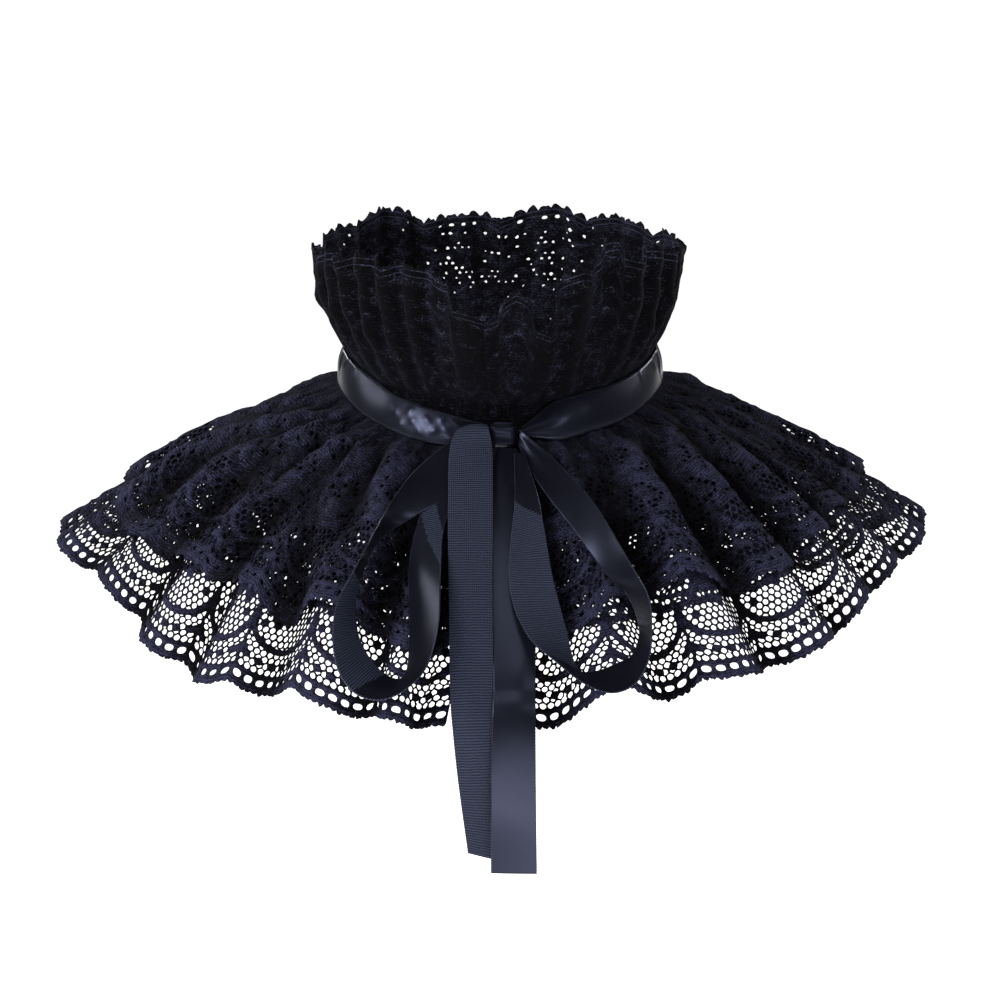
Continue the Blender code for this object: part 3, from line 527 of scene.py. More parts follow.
def swag_distance(across, up):
    """Distance to the heavy cord that hangs in a swag from junction to junction."""
    tall = SWAG_TOP - SWAG_FOOT
    over = beside(across, REPEAT / 2)
    rise = np.minimum(up - SWAG_TOP, 0.0)
    ring = np.sqrt((over / SWAG_HALF_ACROSS) ** 2 + (rise / tall) ** 2) + 1e-6
    lean = np.sqrt((over / SWAG_HALF_ACROSS**2) ** 2 + (rise / tall**2) ** 2) / ring + 1e-6
    above = unit((up - SWAG_TOP) / SWAG_END)
    away = np.abs(ring - 1.0) / lean - SWAG_HALF_WIDE * (1.0 - above)
    return away + SWAG_PAST * (above >= 1.0)


def oval_distance(across, up, half_wide, half_tall, turn=0.0):
    """Distance to the edge of an oval dot or leaf."""
    cos, sin = np.cos(np.radians(turn)), np.sin(np.radians(turn))
    x = (across * cos + up * sin) / half_wide
    y = (up * cos - across * sin) / half_tall
    return (np.hypot(x, y) - 1.0) * min(half_wide, half_tall)


def flower_distance(across, up, reach, petals, turn):
    """Distance to the edge of a flower with rounded petals."""
    angle = np.arctan2(up, across) - np.radians(turn)
    edge = 1.0 - PETAL_DEEP + PETAL_DEEP * np.abs(np.cos(petals * angle / 2)) ** PETAL_POWER
    return np.hypot(across, up) - reach * edge


def dot_place(dot):
    """Place across and up of one of the dots over the border."""
    centre = REPEAT * (dot + 0.5) / DOTS
    return centre, DOT_UP + DOT_SWAY * np.cos(2 * np.pi * centre / REPEAT)


def motif_distance(across, up):
    """Distance from the nearest solid figure of the lace, negative inside it."""
    near = np.minimum(up - BORDER_TALL, swag_distance(across, up))
    near = np.minimum(near, np.abs(beside(across, 0.0)) - STEM_HALF_WIDE)
    for dot in range(DOTS):
        centre, height = dot_place(dot)
        over = beside(across, centre)
        near = np.minimum(near, oval_distance(over, up - height, *DOT_HALF))
    for centre, height, reach, petals, turn in FLOWERS:
        over = beside(across, centre)
        near = np.minimum(near, flower_distance(over, up - height, reach, petals, turn))
        if reach < FLOWER_STEP / 2:
            continue
        for side, rise, half_long, half_wide, lean in FLOWER_LEAVES:
            over, over_up = beside(across, centre + side), up - height - rise
            near = np.minimum(near, oval_distance(over, over_up, half_long, half_wide, lean))
    return near


# Net of each cut, row per height: height over the hem, strand width, share of cells shut
LOWER_NET = ((0, 0.64, 0.0), (38, 0.72, 0.05), (46, 0.85, 0.2), (78, 1.2, 0.5), (80, 1.5, 1.0))
UPPER_NET = (
    (0, 0.6, 0.0), (20, 0.6, 0.1), (36, 0.8, 0.2), (46, 1.0, 0.35), (86, 1.4, 0.7), (90, 1.5, 1.0),
)
RUFF_SHUT_NET = ((0, 1.2, 0.6), (8, 1.6, 0.88), (30, 2.2, 0.97), (72, 2.3, 1.0))
RUFF_OPEN_NET = ((0, 0.9, 0.4), (10, 1.5, 0.62), (30, 1.7, 0.66), (52, 2.0, 0.85), (72, 2.2, 1.0))
RUFF_OPEN_REPEATS = 1  # repeats at centre back where the gathers stand apart


def net_at(net, up):
    """Strand width and share of shut cells of a net at a height over its hem."""
    rows = np.array(net, dtype=float)
    return np.interp(up, rows[:, 0], rows[:, 1]), np.interp(up, rows[:, 0], rows[:, 2])


def hole_reach(offset, turns, strand):
    """How far a net hole reaches in each direction before the next strand."""
    spread = np.zeros(len(turns))
    for cells, rows in CELL_SIDES:
        x, y = cells * CELL_WIDE, rows * ROW_TALL
        size = np.hypot(x, y)
        room = size / 2 - strand / 2 - (offset[0] * x + offset[1] * y) / size
        toward = np.clip((np.cos(turns) * x + np.sin(turns) * y) / size, 0.0, None)
        spread += (toward / max(room, STRAND_ROOM)) ** HOLE_CORNER
    return spread ** (-1.0 / HOLE_CORNER)


def net_hole(centre, net, random):
    """Outline of the hole in one cell of net, or None where a figure fills the cell."""
    strand, shut = net_at(net, centre[1])
    thin, thick, more = STRAND_UNEVEN
    strand *= random.uniform(thin, thick + more * shut)
    if random.uniform() < shut or motif_distance(*centre) < -FIGURE_DEEP:
        return None
    x, y = np.meshgrid(CELL_SEARCH * CELL_WIDE, CELL_SEARCH * ROW_TALL * CELL_TALLER)
    clear = motif_distance(centre[0] + x, centre[1] + y)
    is_open = clear > FIGURE_CLEAR
    if is_open.mean() < OPEN_LEAST:
        return None
    offset = np.array([x[is_open].mean(), y[is_open].mean()])
    if motif_distance(*(centre + offset)) < FIGURE_CLEAR:
        best = np.unravel_index(np.argmax(clear), clear.shape)
        offset = np.array([x[best], y[best]])
    turns = 2 * np.pi * (np.arange(HOLE_POINTS) + random.uniform(0, HOLE_TURN)) / HOLE_POINTS
    uneven = HOLE_UNEVEN * max(strand - STRAND_FINE, 0.0)
    reach = hole_reach(offset, turns, strand)
    reach *= random.uniform(HOLE_SIZES[0] - uneven, HOLE_SIZES[1] + uneven / 2, HOLE_POINTS)
    start = centre + offset
    along_x = start[0] + np.outer(reach * np.cos(turns), HOLE_SHARES)
    along_y = start[1] + np.outer(reach * np.sin(turns), HOLE_SHARES)
    blocked = motif_distance(along_x, along_y) < FIGURE_RIM
    last = len(HOLE_SHARES) - 1
    stop = np.where(blocked.any(axis=1), np.argmax(blocked, axis=1) - 0.5, last)
    reach = reach * np.interp(stop, np.arange(last + 1), HOLE_SHARES)
    x, y = reach * np.cos(turns), reach * np.sin(turns)
    area = abs(np.sum(x * np.roll(y, -1) - y * np.roll(x, -1))) / 2
    if area < HOLE_LEAST:
        return None
    return start + np.stack([x, y], axis=1)


def squared(turns, power):
    """A circle's cosine and sine, pushed out towards a square by a power below one."""
    waves = np.cos(turns), np.sin(turns)
    return [np.sign(wave) * np.abs(wave) ** power for wave in waves]


def eyelet_hole(centre, size, random):
    """Outline of one oval eyelet of the border."""
    wide, tall, shift = (random.uniform(*limits) for limits in EYELET_UNEVEN)
    x, y = squared(2 * np.pi * np.arange(EYELET_POINTS) / EYELET_POINTS, EYELET_POWER)
    x, y = EYELET_HALF[0] * size * wide * x, EYELET_HALF[1] * size * tall * y
    return np.array([centre, EYELET_UP + shift]) + np.stack([x, y], axis=1)


def doubled_areas(flat, triangles):
    """Twice the area of each flat triangle, negative where it runs clockwise."""
    a, b, c = (flat[triangles[:, k]] for k in range(3))
    return (b[:, 0] - a[:, 0]) * (c[:, 1] - a[:, 1]) - (b[:, 1] - a[:, 1]) * (c[:, 0] - a[:, 0])


def chart_holes(top, net, eyelet_size, eyelets_shut, random):
    """Outlines of the open eyelets and net holes, and points for the cloth between."""
    holes, loose = [], []
    for eyelet in range(EYELETS):
        centre = REPEAT * (eyelet + 0.5) / EYELETS
        if random.uniform() < eyelets_shut:
            loose.append((centre, EYELET_UP))
        else:
            holes.append(eyelet_hole(centre, eyelet_size, random))
        loose.append((REPEAT * (eyelet + 1.0) / EYELETS - SEAM_CLEAR, EYELET_UP))
    for row in range(int((top - BORDER_TALL) / ROW_TALL)):
        for cell in range(CELLS_ACROSS):
            across = CELL_WIDE * (cell + CELL_START[0] + 0.5 * (row % 2))
            centre = np.array([across, BORDER_TALL + ROW_TALL * (row + CELL_START[1])])
            centre += random.uniform(-CELL_UNEVEN, CELL_UNEVEN, 2)
            hole = net_hole(centre, net, random)
            if hole is None:
                loose.append(tuple(centre))
            else:
                holes.append(hole)
    for turn in np.pi * SWAG_STOPS:
        across = REPEAT / 2 - SWAG_HALF_ACROSS * np.cos(turn)
        loose.append((across, SWAG_TOP - (SWAG_TOP - SWAG_FOOT) * np.sin(turn)))
    loose.extend(dot_place(dot) for dot in range(DOTS))
    loose.extend((place, line) for place in BORDER_STOPS for line in BORDER_LINES)
    return holes, loose


def chart_outline(top, picots, picot, random):
    """Edge of one repeat: along the hem with its picots, then round the other sides."""
    edge = np.linspace(0.0, REPEAT, picots * PICOT_STEPS + 1)
    knobs = np.abs(np.sin(np.pi * picots * edge / REPEAT)) ** PICOT_POWER
    mean, swing, waves, start = PICOT_WAVE
    knobs = knobs * (mean + swing * np.sin(edge * 2 * np.pi * waves / REPEAT + start))
    knobs[1:-1] += random.uniform(-PICOT_FUZZ, PICOT_FUZZ, len(knobs) - 2)
    hem = [(across, -picot * knob) for across, knob in zip(edge, knobs)]
    levels = np.arange(1, int(top / ROW_TALL)) * ROW_TALL
    right = [(REPEAT, level) for level in levels]
    upper = [(across, top) for across in np.linspace(REPEAT, 0.0, CELLS_ACROSS + 1)]
    left = [(0.0, level) for level in levels[::-1]]
    return hem + right + upper + left


def lace_chart(top, net, eyelet_size, eyelets_shut, picots, picot, seed):
    """One repeat of the lace as flat triangles: points (across, up), triangles, and how
    deep in a figure each point lies, from 0 on a net strand to 1."""
    random = np.random.default_rng(seed)
    holes, loose = chart_holes(top, net, eyelet_size, eyelets_shut, random)
    outline = chart_outline(top, picots, picot, random)
    points = list(outline)
    faces = [list(range(len(outline)))]
    for hole in holes:
        faces.append(list(range(len(points), len(points) + len(hole))))
        points.extend(tuple(point) for point in hole)
    points.extend(point for point in loose if point[1] < top - TOP_CLEAR)
    made = delaunay_2d_cdt([Vector(point) for point in points], [], faces, 1, SAME_POINT, True)
    flat = np.array([tuple(point) for point in made[0]])
    inside = [face for face, source in zip(made[2], made[5]) if source == [0]]
    triangles = np.array(inside, dtype=np.int64)
    turned = doubled_areas(flat, triangles)
    triangles[turned < 0] = triangles[turned < 0][:, ::-1]
    triangles = triangles[np.abs(turned) > NO_AREA]
    used = np.zeros(len(flat), dtype=bool)
    used[triangles] = True
    number = np.cumsum(used) - 1
    flat, triangles = flat[used], number[triangles]
    filled = unit(-motif_distance(flat[:, 0], flat[:, 1]) / FIGURE_RISE)
    return flat, triangles, filled


def tiled(charts):
    """Lay charts side by side, one for each repeat, sharing the points of their edges."""
    points, fills, faces, total = [], [], [], 0
    for repeat, (flat, triangles, filled) in enumerate(charts):
        left = np.flatnonzero(flat[:, 0] < SAME_PLACE)
        right = np.flatnonzero(flat[:, 0] > REPEAT - SAME_PLACE)
        left = left[np.argsort(flat[left, 1])]
        right = right[np.argsort(flat[right, 1])]
        fresh = np.ones(len(flat), dtype=bool)
        number = np.empty(len(flat), dtype=np.int64)
        if repeat:
            fresh[left] = False
            number[left] = seam
        number[fresh] = total + np.arange(fresh.sum())
        points.append(flat[fresh] + np.array([REPEAT * repeat, 0.0]))
        fills.append(filled[fresh])
        faces.append(number[triangles])
        total += int(fresh.sum())
        seam = number[right]
    return np.concatenate(points), np.concatenate(faces), np.concatenate(fills)


def lace_height(across, up):
    """Height over the hem line of the form, with the scallops of the hem in it."""
    dip = SCALLOP_DEEP * (1.0 - np.abs(np.sin(np.pi * across / REPEAT))) ** SCALLOP_POWER
    low, high = SCALLOP_FADE
    return up + dip * (1.0 - ease((up - low) / (high - low)))


# ---- lace on the forms ------------------------------------------------------
GRID_ACROSS = 1100
GRID_UP = 90
SLANT_MOST = 200.0
RUFF_TRACK = 0.97  # share of the ruff's height where its length is measured
PICOT_ROOM = 3.6  # the forms reach this far past the hem line, for the picots
NET_THICK = 0.4
FIGURE_THICK = 0.75  # added where a figure is worked
FIGURE_LIFT = 0.25
FRONT_LAP = 3.6  # degrees that the right half of the ruff laps the left
BACK_LAP = 1.4
LAP_BLEND = 3.0
LAP_RISE = 0.9
PUCKER_SEED = 5
PUCKER_ROWS = (0.97, 0.84, 0.7, 0.56, 0.42)  # shares of the ruff's height
PUCKER_UNEVEN = (-0.05, 0.05)
PUCKER_HALF_SHARE = 0.055
PUCKER_ASIDE = (-3.5, 3.5)  # degrees from the crest of the pleat
PUCKER_HALF_WIDE = (3.0, 7.0)  # degrees round the neck
PUCKER_TALL = (-1.5, 2.2)
CREST_WINDOW = 58  # columns of a form on each side that count as the folds round a point
CREST_SPAN = 5.5  # millimetres from valley to crest


def gathers(azimuth, slant):
    """Small ridges drawn up under the neckband that die out down the cloth."""
    random = np.random.default_rng(GATHER_SEED)
    height = np.zeros(np.broadcast(azimuth, slant).shape)
    for number in range(GATHERS):
        centre = 360.0 * (number + random.uniform(-GATHER_UNEVEN, GATHER_UNEVEN)) / GATHERS
        reach, half_wide = random.uniform(*GATHER_REACH), random.uniform(*GATHER_HALF_WIDE)
        tall = random.uniform(*GATHER_TALL)
        away = np.abs(around(azimuth - centre)) / half_wide
        ridge = ease(1.0 - away)
        along = unit((slant - GATHER_START) / GATHER_GROW)
        along = along * unit(1.0 - slant / reach) ** GATHER_FADE
        height = np.maximum(height, tall * ridge * along)
    return height


def crest_of(points, facing):
    """How each point of a form lies among its folds: 0 deep in a valley, 1 on a crest."""
    half = CREST_WINDOW
    padded = np.pad(points, ((0, 0), (half, half), (0, 0)), mode="reflect")
    total = np.cumsum(padded, axis=1)
    mean = (total[:, 2 * half:] - total[:, :-2 * half]) / (2 * half)
    rise = np.sum((points - mean[:, :points.shape[1]]) * facing, axis=-1)
    return unit(0.5 + rise / CREST_SPAN)


class Form:
    """A surface sampled over the flat lace, to be read at any place on it."""

    def __init__(self, across, up, points, side):
        self.across, self.up, self.points = across, up, points
        self.facing = -side * facing_of(points)
        self.crest = crest_of(points, self.facing)[..., None]

    def read(self, across, up):
        """Points, their facing and their share of crest at places on the flat lace."""
        i = np.interp(across, self.across, np.arange(len(self.across)))
        j = np.interp(up, self.up, np.arange(len(self.up)))
        i0 = np.clip(i.astype(int), 0, len(self.across) - 2)
        j0 = np.clip(j.astype(int), 0, len(self.up) - 2)
        s, t = (i - i0)[:, None], (j - j0)[:, None]
        found = []
        for grid in (self.points, self.facing, self.crest):
            low = grid[j0, i0] * (1 - s) + grid[j0, i0 + 1] * s
            high = grid[j0 + 1, i0] * (1 - s) + grid[j0 + 1, i0 + 1] * s
            found.append(low * (1 - t) + high * t)
        points, facing, crest = found
        return points, facing / np.linalg.norm(facing, axis=1, keepdims=True), crest[:, 0]


def hem_travel(track):
    """Length along a track from its start to each of its points."""
    steps = np.linalg.norm(np.diff(track, axis=0), axis=1)
    return np.concatenate([[0.0], np.cumsum(steps)])


def laps(azimuth, side):
    """How far a piece is moved out where it laps its neighbour at front or back."""
    front = unit(1.0 - azimuth * side / LAP_BLEND) * (side > 0)
    back = unit((azimuth * side - 180.0) / LAP_BLEND + 1.0) * (side < 0)
    return LAP_RISE * np.minimum(front + back, 1.0)


def laid_out(track, top):
    """Places across and up on the flat strip that a track round the neck takes up, in a
    whole number of repeats, and that number."""
    travel = hem_travel(track)
    repeats = int(round(travel[-1] / REPEAT))
    across = travel / travel[-1] * repeats * REPEAT
    return across, np.linspace(-PICOT_ROOM, top, GRID_UP), repeats


def tier_form(surface, hem_of, side, top):
    """Half of a tier as a form: the lace runs from the front edge to centre back."""
    azimuth = side * np.linspace(FRONT_EDGE_NECK, 180.0 + BACK_LAP * (side < 0), GRID_ACROSS)
    cloth = around(azimuth)
    hem = hem_of(cloth)
    across, up, repeats = laid_out(surface(cloth, hem - BORDER_DEEP / 2), top)
    slant = np.clip(hem[None, :] - up[:, None] * hem[None, :] / top, 0.0, SLANT_MOST)
    points = surface(np.broadcast_to(cloth, slant.shape), slant)
    back = laps(azimuth, side) * (np.abs(azimuth) > 90.0)
    height = gathers(cloth[None, :], slant) + back[None, :]
    points = points - side * facing_of(points) * height[..., None]
    return Form(across, up, points, side), repeats


def puckers(azimuth, share):
    """Uneven bumps and dents that lie across the pleats of the ruff."""
    random = np.random.default_rng(PUCKER_SEED)
    height = np.zeros(np.broadcast(azimuth, share).shape)
    for crest, _ in RUFF_FOLDS:
        for row in PUCKER_ROWS:
            centre = crest + random.uniform(*PUCKER_ASIDE)
            level = row + random.uniform(*PUCKER_UNEVEN)
            wide = random.uniform(*PUCKER_HALF_WIDE)
            tall = random.uniform(*PUCKER_TALL)
            away = around(azimuth - centre) / wide
            height += tall * np.exp(-(away**2) - ((share - level) / PUCKER_HALF_SHARE) ** 2)
    return height


def ruff_form(side, top):
    """Half of the ruff; the right half laps the left at the front, the left at the back."""
    start, end = (-FRONT_LAP, 180.0) if side > 0 else (0.0, 180.0 + BACK_LAP)
    azimuth = side * np.linspace(start, end, GRID_ACROSS)
    cloth = around(azimuth)
    across, up, repeats = laid_out(ruff(cloth, np.full(GRID_ACROSS, RUFF_TRACK)), top)
    share = 1.0 - up / top
    points = ruff(cloth[None, :], share[:, None])
    height = laps(azimuth, side)[None, :] + puckers(cloth[None, :], share[:, None])
    points = points + outward(cloth)[None, :] * height[..., None]
    return Form(across, up, points, side), repeats


def linked(name, data):
    """A mesh, lamp or camera as an object of the scene."""
    body = bpy.data.objects.new(name, data)
    bpy.context.collection.objects.link(body)
    return body


def thick_mesh(name, outer, inner, faces, flat, shares):
    """Closed wall between two sheets of points, with its cut edges filled.

    Shares are named values from 0 to 1, one for each point, which the materials read.
    """
    count = len(outer)
    starts = faces[:, [0, 1, 2]].ravel()
    ends = faces[:, [1, 2, 0]].ravel()
    rim = ~np.isin(starts * count + ends, ends * count + starts)
    a, b = starts[rim], ends[rim]
    walls = np.concatenate([
        np.stack([b, a, a + count], axis=1),
        np.stack([b, a + count, b + count], axis=1),
    ])
    triangles = np.concatenate([faces, faces[:, ::-1] + count, walls])
    mesh = bpy.data.meshes.new(name)
    mesh.from_pydata(np.concatenate([outer, inner]) * MM, [], triangles)
    mesh.validate()
    place = np.concatenate([flat, flat])[triangles.ravel()] * MM
    layer = mesh.uv_layers.new(name="flat")
    layer.data.foreach_set("uv", place.ravel())
    skins = {share: np.concatenate([values, values]) for share, values in shares.items()}
    # inner is 1 on the skin that faces the wearer; the lace materials paint shade onto that skin
    skins["inner"] = np.repeat((0.0, 1.0), count)
    for share, values in skins.items():
        made = mesh.attributes.new(share, "FLOAT", "POINT")
        made.data.foreach_set("value", values)
    mesh.polygons.foreach_set("use_smooth", np.ones(len(triangles), dtype=bool))
    return linked(name, mesh)


def lace_piece(name, form, charts, side, relief):
    """Shell of lace: charts side by side along a form, thicker on the lace's figures."""
    flat, faces, figure = tiled(charts)
    up = lace_height(flat[:, 0], flat[:, 1])
    points, facing, crest = form.read(flat[:, 0], up)
    half = (NET_THICK + FIGURE_THICK * relief * figure)[:, None] / 2
    middle = points + facing * (FIGURE_LIFT * relief * figure)[:, None]
    if side < 0:
        faces = faces[:, ::-1]
    # crest feeds the painted light on the crests of the folds and the painted shade in their valleys
    shares = {"figure": figure, "crest": crest}
    return thick_mesh(name, middle + facing * half, middle - facing * half, faces, flat, shares)


# ---- ribbon -----------------------------------------------------------------
RIBBON_WIDE = 20.0
RIBBON_THICK = 0.4
RIBBON_CAMBER = 0.35
RIBBON_ROW = 0.65  # length of cloth between two rows of points
CURVE_STEPS = 16
RIBBON_COLUMNS = (0.0, 0.03, 0.08, 0.16, 0.26, 0.37, 0.5, 0.63, 0.74, 0.84, 0.92, 0.97, 1.0)
RIBBON_LEAST_ROWS = 8
SELVEDGE_TOOTH = 0.09
BAND_ENDS = (7.5, 354.5)  # azimuths where the ribbon goes in under the knot
BAND_ROWS = 340  # rows of points on each half
KNOT_CENTRE = np.array([1.2, -69.5, -13.2])
KNOT_HALF_SIZE = (6.1, 4.1)
KNOT_PROFILE = ((-4.9, -3.4, 0, 3.4, 4.9), (0.62, 0.93, 0.84, 0.93, 0.62))  # heights, sizes
KNOT_ROWS = 26
KNOT_RING = 72
KNOT_POWER = 0.7
KNOT_FOLD = 0.03
KNOT_WAVES = (1.3, 2.0, 5.0)  # lean of the folds with the height, their sway, folds round it


def curve_through(points, steps):
    """Flowing line through points, with the given number of pieces between two."""
    padded = np.concatenate([2 * points[:1] - points[1:2], points, 2 * points[-1:] - points[-2:-1]])
    line = []
    for i in range(1, len(padded) - 2):
        a, b, c, d = padded[i - 1:i + 3]
        for k in range(steps):
            t = k / steps
            bend = (2 * a - 5 * b + 4 * c - d) * t**2 + (3 * b - a - 3 * c + d) * t**3
            line.append(0.5 * (2 * b + (c - a) * t + bend))
    line.append(points[-1])
    return np.array(line)


def evenly(lines, step):
    """Lines that run side by side, re-cut at even lengths along their middle."""
    middle = sum(lines) / len(lines)
    travel = hem_travel(middle)
    count = max(int(travel[-1] / step), RIBBON_LEAST_ROWS)
    places = np.linspace(0.0, travel[-1], count)
    cut = [np.stack([np.interp(places, travel, line[:, k]) for k in range(3)], axis=1) for line in lines]
    return cut, places


def two_sided(name, grid, places, front, back, turned=()):
    """Thin closed ribbon over a grid of points, its two faces in two materials.

    Rows of turned hold the shares of the length between which the back shows, and how
    far across the edge of that stretch leans.
    """
    rows, columns = grid.shape[:2]
    facing = facing_of(grid)
    number = np.arange(rows * columns).reshape(rows, columns)
    a, b = number[:-1, :-1].ravel(), number[1:, :-1].ravel()
    c, d = number[1:, 1:].ravel(), number[:-1, 1:].ravel()
    faces = np.concatenate([np.stack([a, b, c], axis=1), np.stack([a, c, d], axis=1)])
    outer = (grid + facing * RIBBON_THICK / 2).reshape(-1, 3)
    inner = (grid - facing * RIBBON_THICK / 2).reshape(-1, 3)
    across, along = np.meshgrid(np.array(RIBBON_COLUMNS) * RIBBON_WIDE, places)
    flat = np.stack([across.ravel(), along.ravel()], axis=1)
    body = thick_mesh(name, outer, inner, faces, flat, {})
    body.data.materials.append(front)
    body.data.materials.append(back)
    along = (flat[faces, 1].mean(axis=1) - places.min()) / np.ptp(places)
    across = flat[faces, 0].mean(axis=1) / RIBBON_WIDE - 0.5
    shows_back = np.zeros(len(faces), dtype=bool)
    for start, end, lean in turned:
        shows_back |= (along > start + lean * across) & (along < end + lean * across)
    slots = np.zeros(len(body.data.polygons), dtype=np.int32)
    slots[:len(faces)] = shows_back
    slots[len(faces):2 * len(faces)] = ~shows_back
    body.data.polygons.foreach_set("material_index", slots)
    return body


def toothed(grid):
    """Push every second point of both long edges out, as the selvedge loops stand."""
    grid = grid.copy()
    tooth = np.where(np.arange(len(grid)) % 2, SELVEDGE_TOOTH, -SELVEDGE_TOOTH)[:, None]
    for edge, inside in ((0, 1), (-1, -2)):
        out = grid[:, edge] - grid[:, inside]
        grid[:, edge] += out / np.linalg.norm(out, axis=1, keepdims=True) * tooth
    return grid


def crease(along, across, long, wide, lean, tall):
    """Height of a rounded crease at distances along and across it from its middle."""
    turn = np.radians(lean)
    run = (along * np.cos(turn) + across * np.sin(turn)) / long
    over = (across * np.cos(turn) - along * np.sin(turn)) / wide
    return tall * np.exp(-(run**2) - over**2)


def ribbon(name, table, creases, front, back, turned=()):
    """One loop or tail over the front of the cape, with its creases, and its length."""
    edges = []
    for x, z, off in (0, 1, 2), (3, 4, 5):
        points = [(row[x], cape_front(row[x], row[z]) - row[off], row[z]) for row in table]
        edges.append(curve_through(np.array(points), CURVE_STEPS))
    (first, second), places = evenly(edges, RIBBON_ROW)
    shares = np.array(RIBBON_COLUMNS)
    grid = first[:, None] * (1 - shares[:, None]) + second[:, None] * shares[:, None]
    rise = RIBBON_CAMBER * 4 * shares * (1 - shares)
    height = np.broadcast_to(rise, grid.shape[:2]).copy()
    whole = places[-1]
    for along, across, *form in creases:
        over = (shares[None, :] - across) * RIBBON_WIDE
        height += crease(places[:, None] - along * whole, over, *form)
    grid = grid + facing_of(grid) * height[..., None]
    return two_sided(name, toothed(grid), places, front, back, turned), whole


def neck_ribbon(front, back):
    """The ribbon round the neck from one side of the knot to the other, and its length."""
    first, last = BAND_ENDS
    halves = np.linspace(first, 180.0, BAND_ROWS), np.linspace(180.0, last, BAND_ROWS)[1:]
    azimuth = np.concatenate(halves)
    azimuth = np.where(azimuth > 180.0, azimuth - 360.0, azimuth)
    shares = np.linspace(0.0, 1.0, len(RIBBON_COLUMNS))
    grid = neckband(azimuth[:, None], shares[None, :])
    height = np.zeros(grid.shape[:2])
    for centre, across, *form in BAND_WRINKLES:
        down = (shares[None, :] - across) * RIBBON_WIDE
        along = np.radians(around(azimuth[:, None] - centre)) * NECK_HALF_WIDTH
        height += crease(down, along, *form)
    grid = grid - facing_of(grid) * height[..., None]
    travel = hem_travel(grid[:, len(RIBBON_COLUMNS) // 2])
    return two_sided("neck_ribbon", grid[::-1], travel[::-1], front, back), travel[-1]


def bow_knot(front):
    """The ribbon drawn once round itself: a soft lump with its folds pinched in."""
    heights = np.linspace(KNOT_PROFILE[0][0], KNOT_PROFILE[0][-1], KNOT_ROWS)
    turns = 2 * np.pi * np.arange(KNOT_RING) / KNOT_RING
    x, y = squared(turns, KNOT_POWER)
    points = []
    for height, size in zip(heights, np.interp(heights, *KNOT_PROFILE)):
        lean, sway, count = KNOT_WAVES
        waves = np.sin(lean * height + sway * np.cos(turns)) + np.sin(count * turns)
        sizes = np.outer(KNOT_HALF_SIZE, size * (1.0 + KNOT_FOLD * waves))
        level = np.full(KNOT_RING, height)
        points.append(KNOT_CENTRE + np.stack([x * sizes[0], y * sizes[1], level], axis=1))
    points = np.concatenate(points)
    faces = []
    for row in range(KNOT_ROWS - 1):
        for k in range(KNOT_RING):
            a, b = row * KNOT_RING + k, row * KNOT_RING + (k + 1) % KNOT_RING
            faces.append((a, b, b + KNOT_RING, a + KNOT_RING))
    faces.append(tuple(range(KNOT_RING))[::-1])
    faces.append(tuple(range((KNOT_ROWS - 1) * KNOT_RING, KNOT_ROWS * KNOT_RING)))
    mesh = bpy.data.meshes.new("bow_knot")
    mesh.from_pydata([tuple(point * MM) for point in points], [], faces)
    layer = mesh.uv_layers.new(name="flat")
    rise = points[:, 2] - KNOT_CENTRE[2]
    flat = np.stack([2.0 * rise + RIBBON_WIDE / 2, points[:, 0]], axis=1)
    flat = flat[np.array([loop.vertex_index for loop in mesh.loops])] * MM
    layer.data.foreach_set("uv", flat.ravel())
    mesh.polygons.foreach_set("use_smooth", np.ones(len(faces), dtype=bool))
    mesh.materials.append(front)
    return linked("bow_knot", mesh)


# ---- materials --------------------------------------------------------------
WAVE_BAND = 3.1831  # waves per unit in a wave texture of scale one
TWILL_RIB = 1.15
TWILL_WALE = 0.85
SELVEDGE_DEEP = 0.5
SELVEDGE_PITCH = 1.15


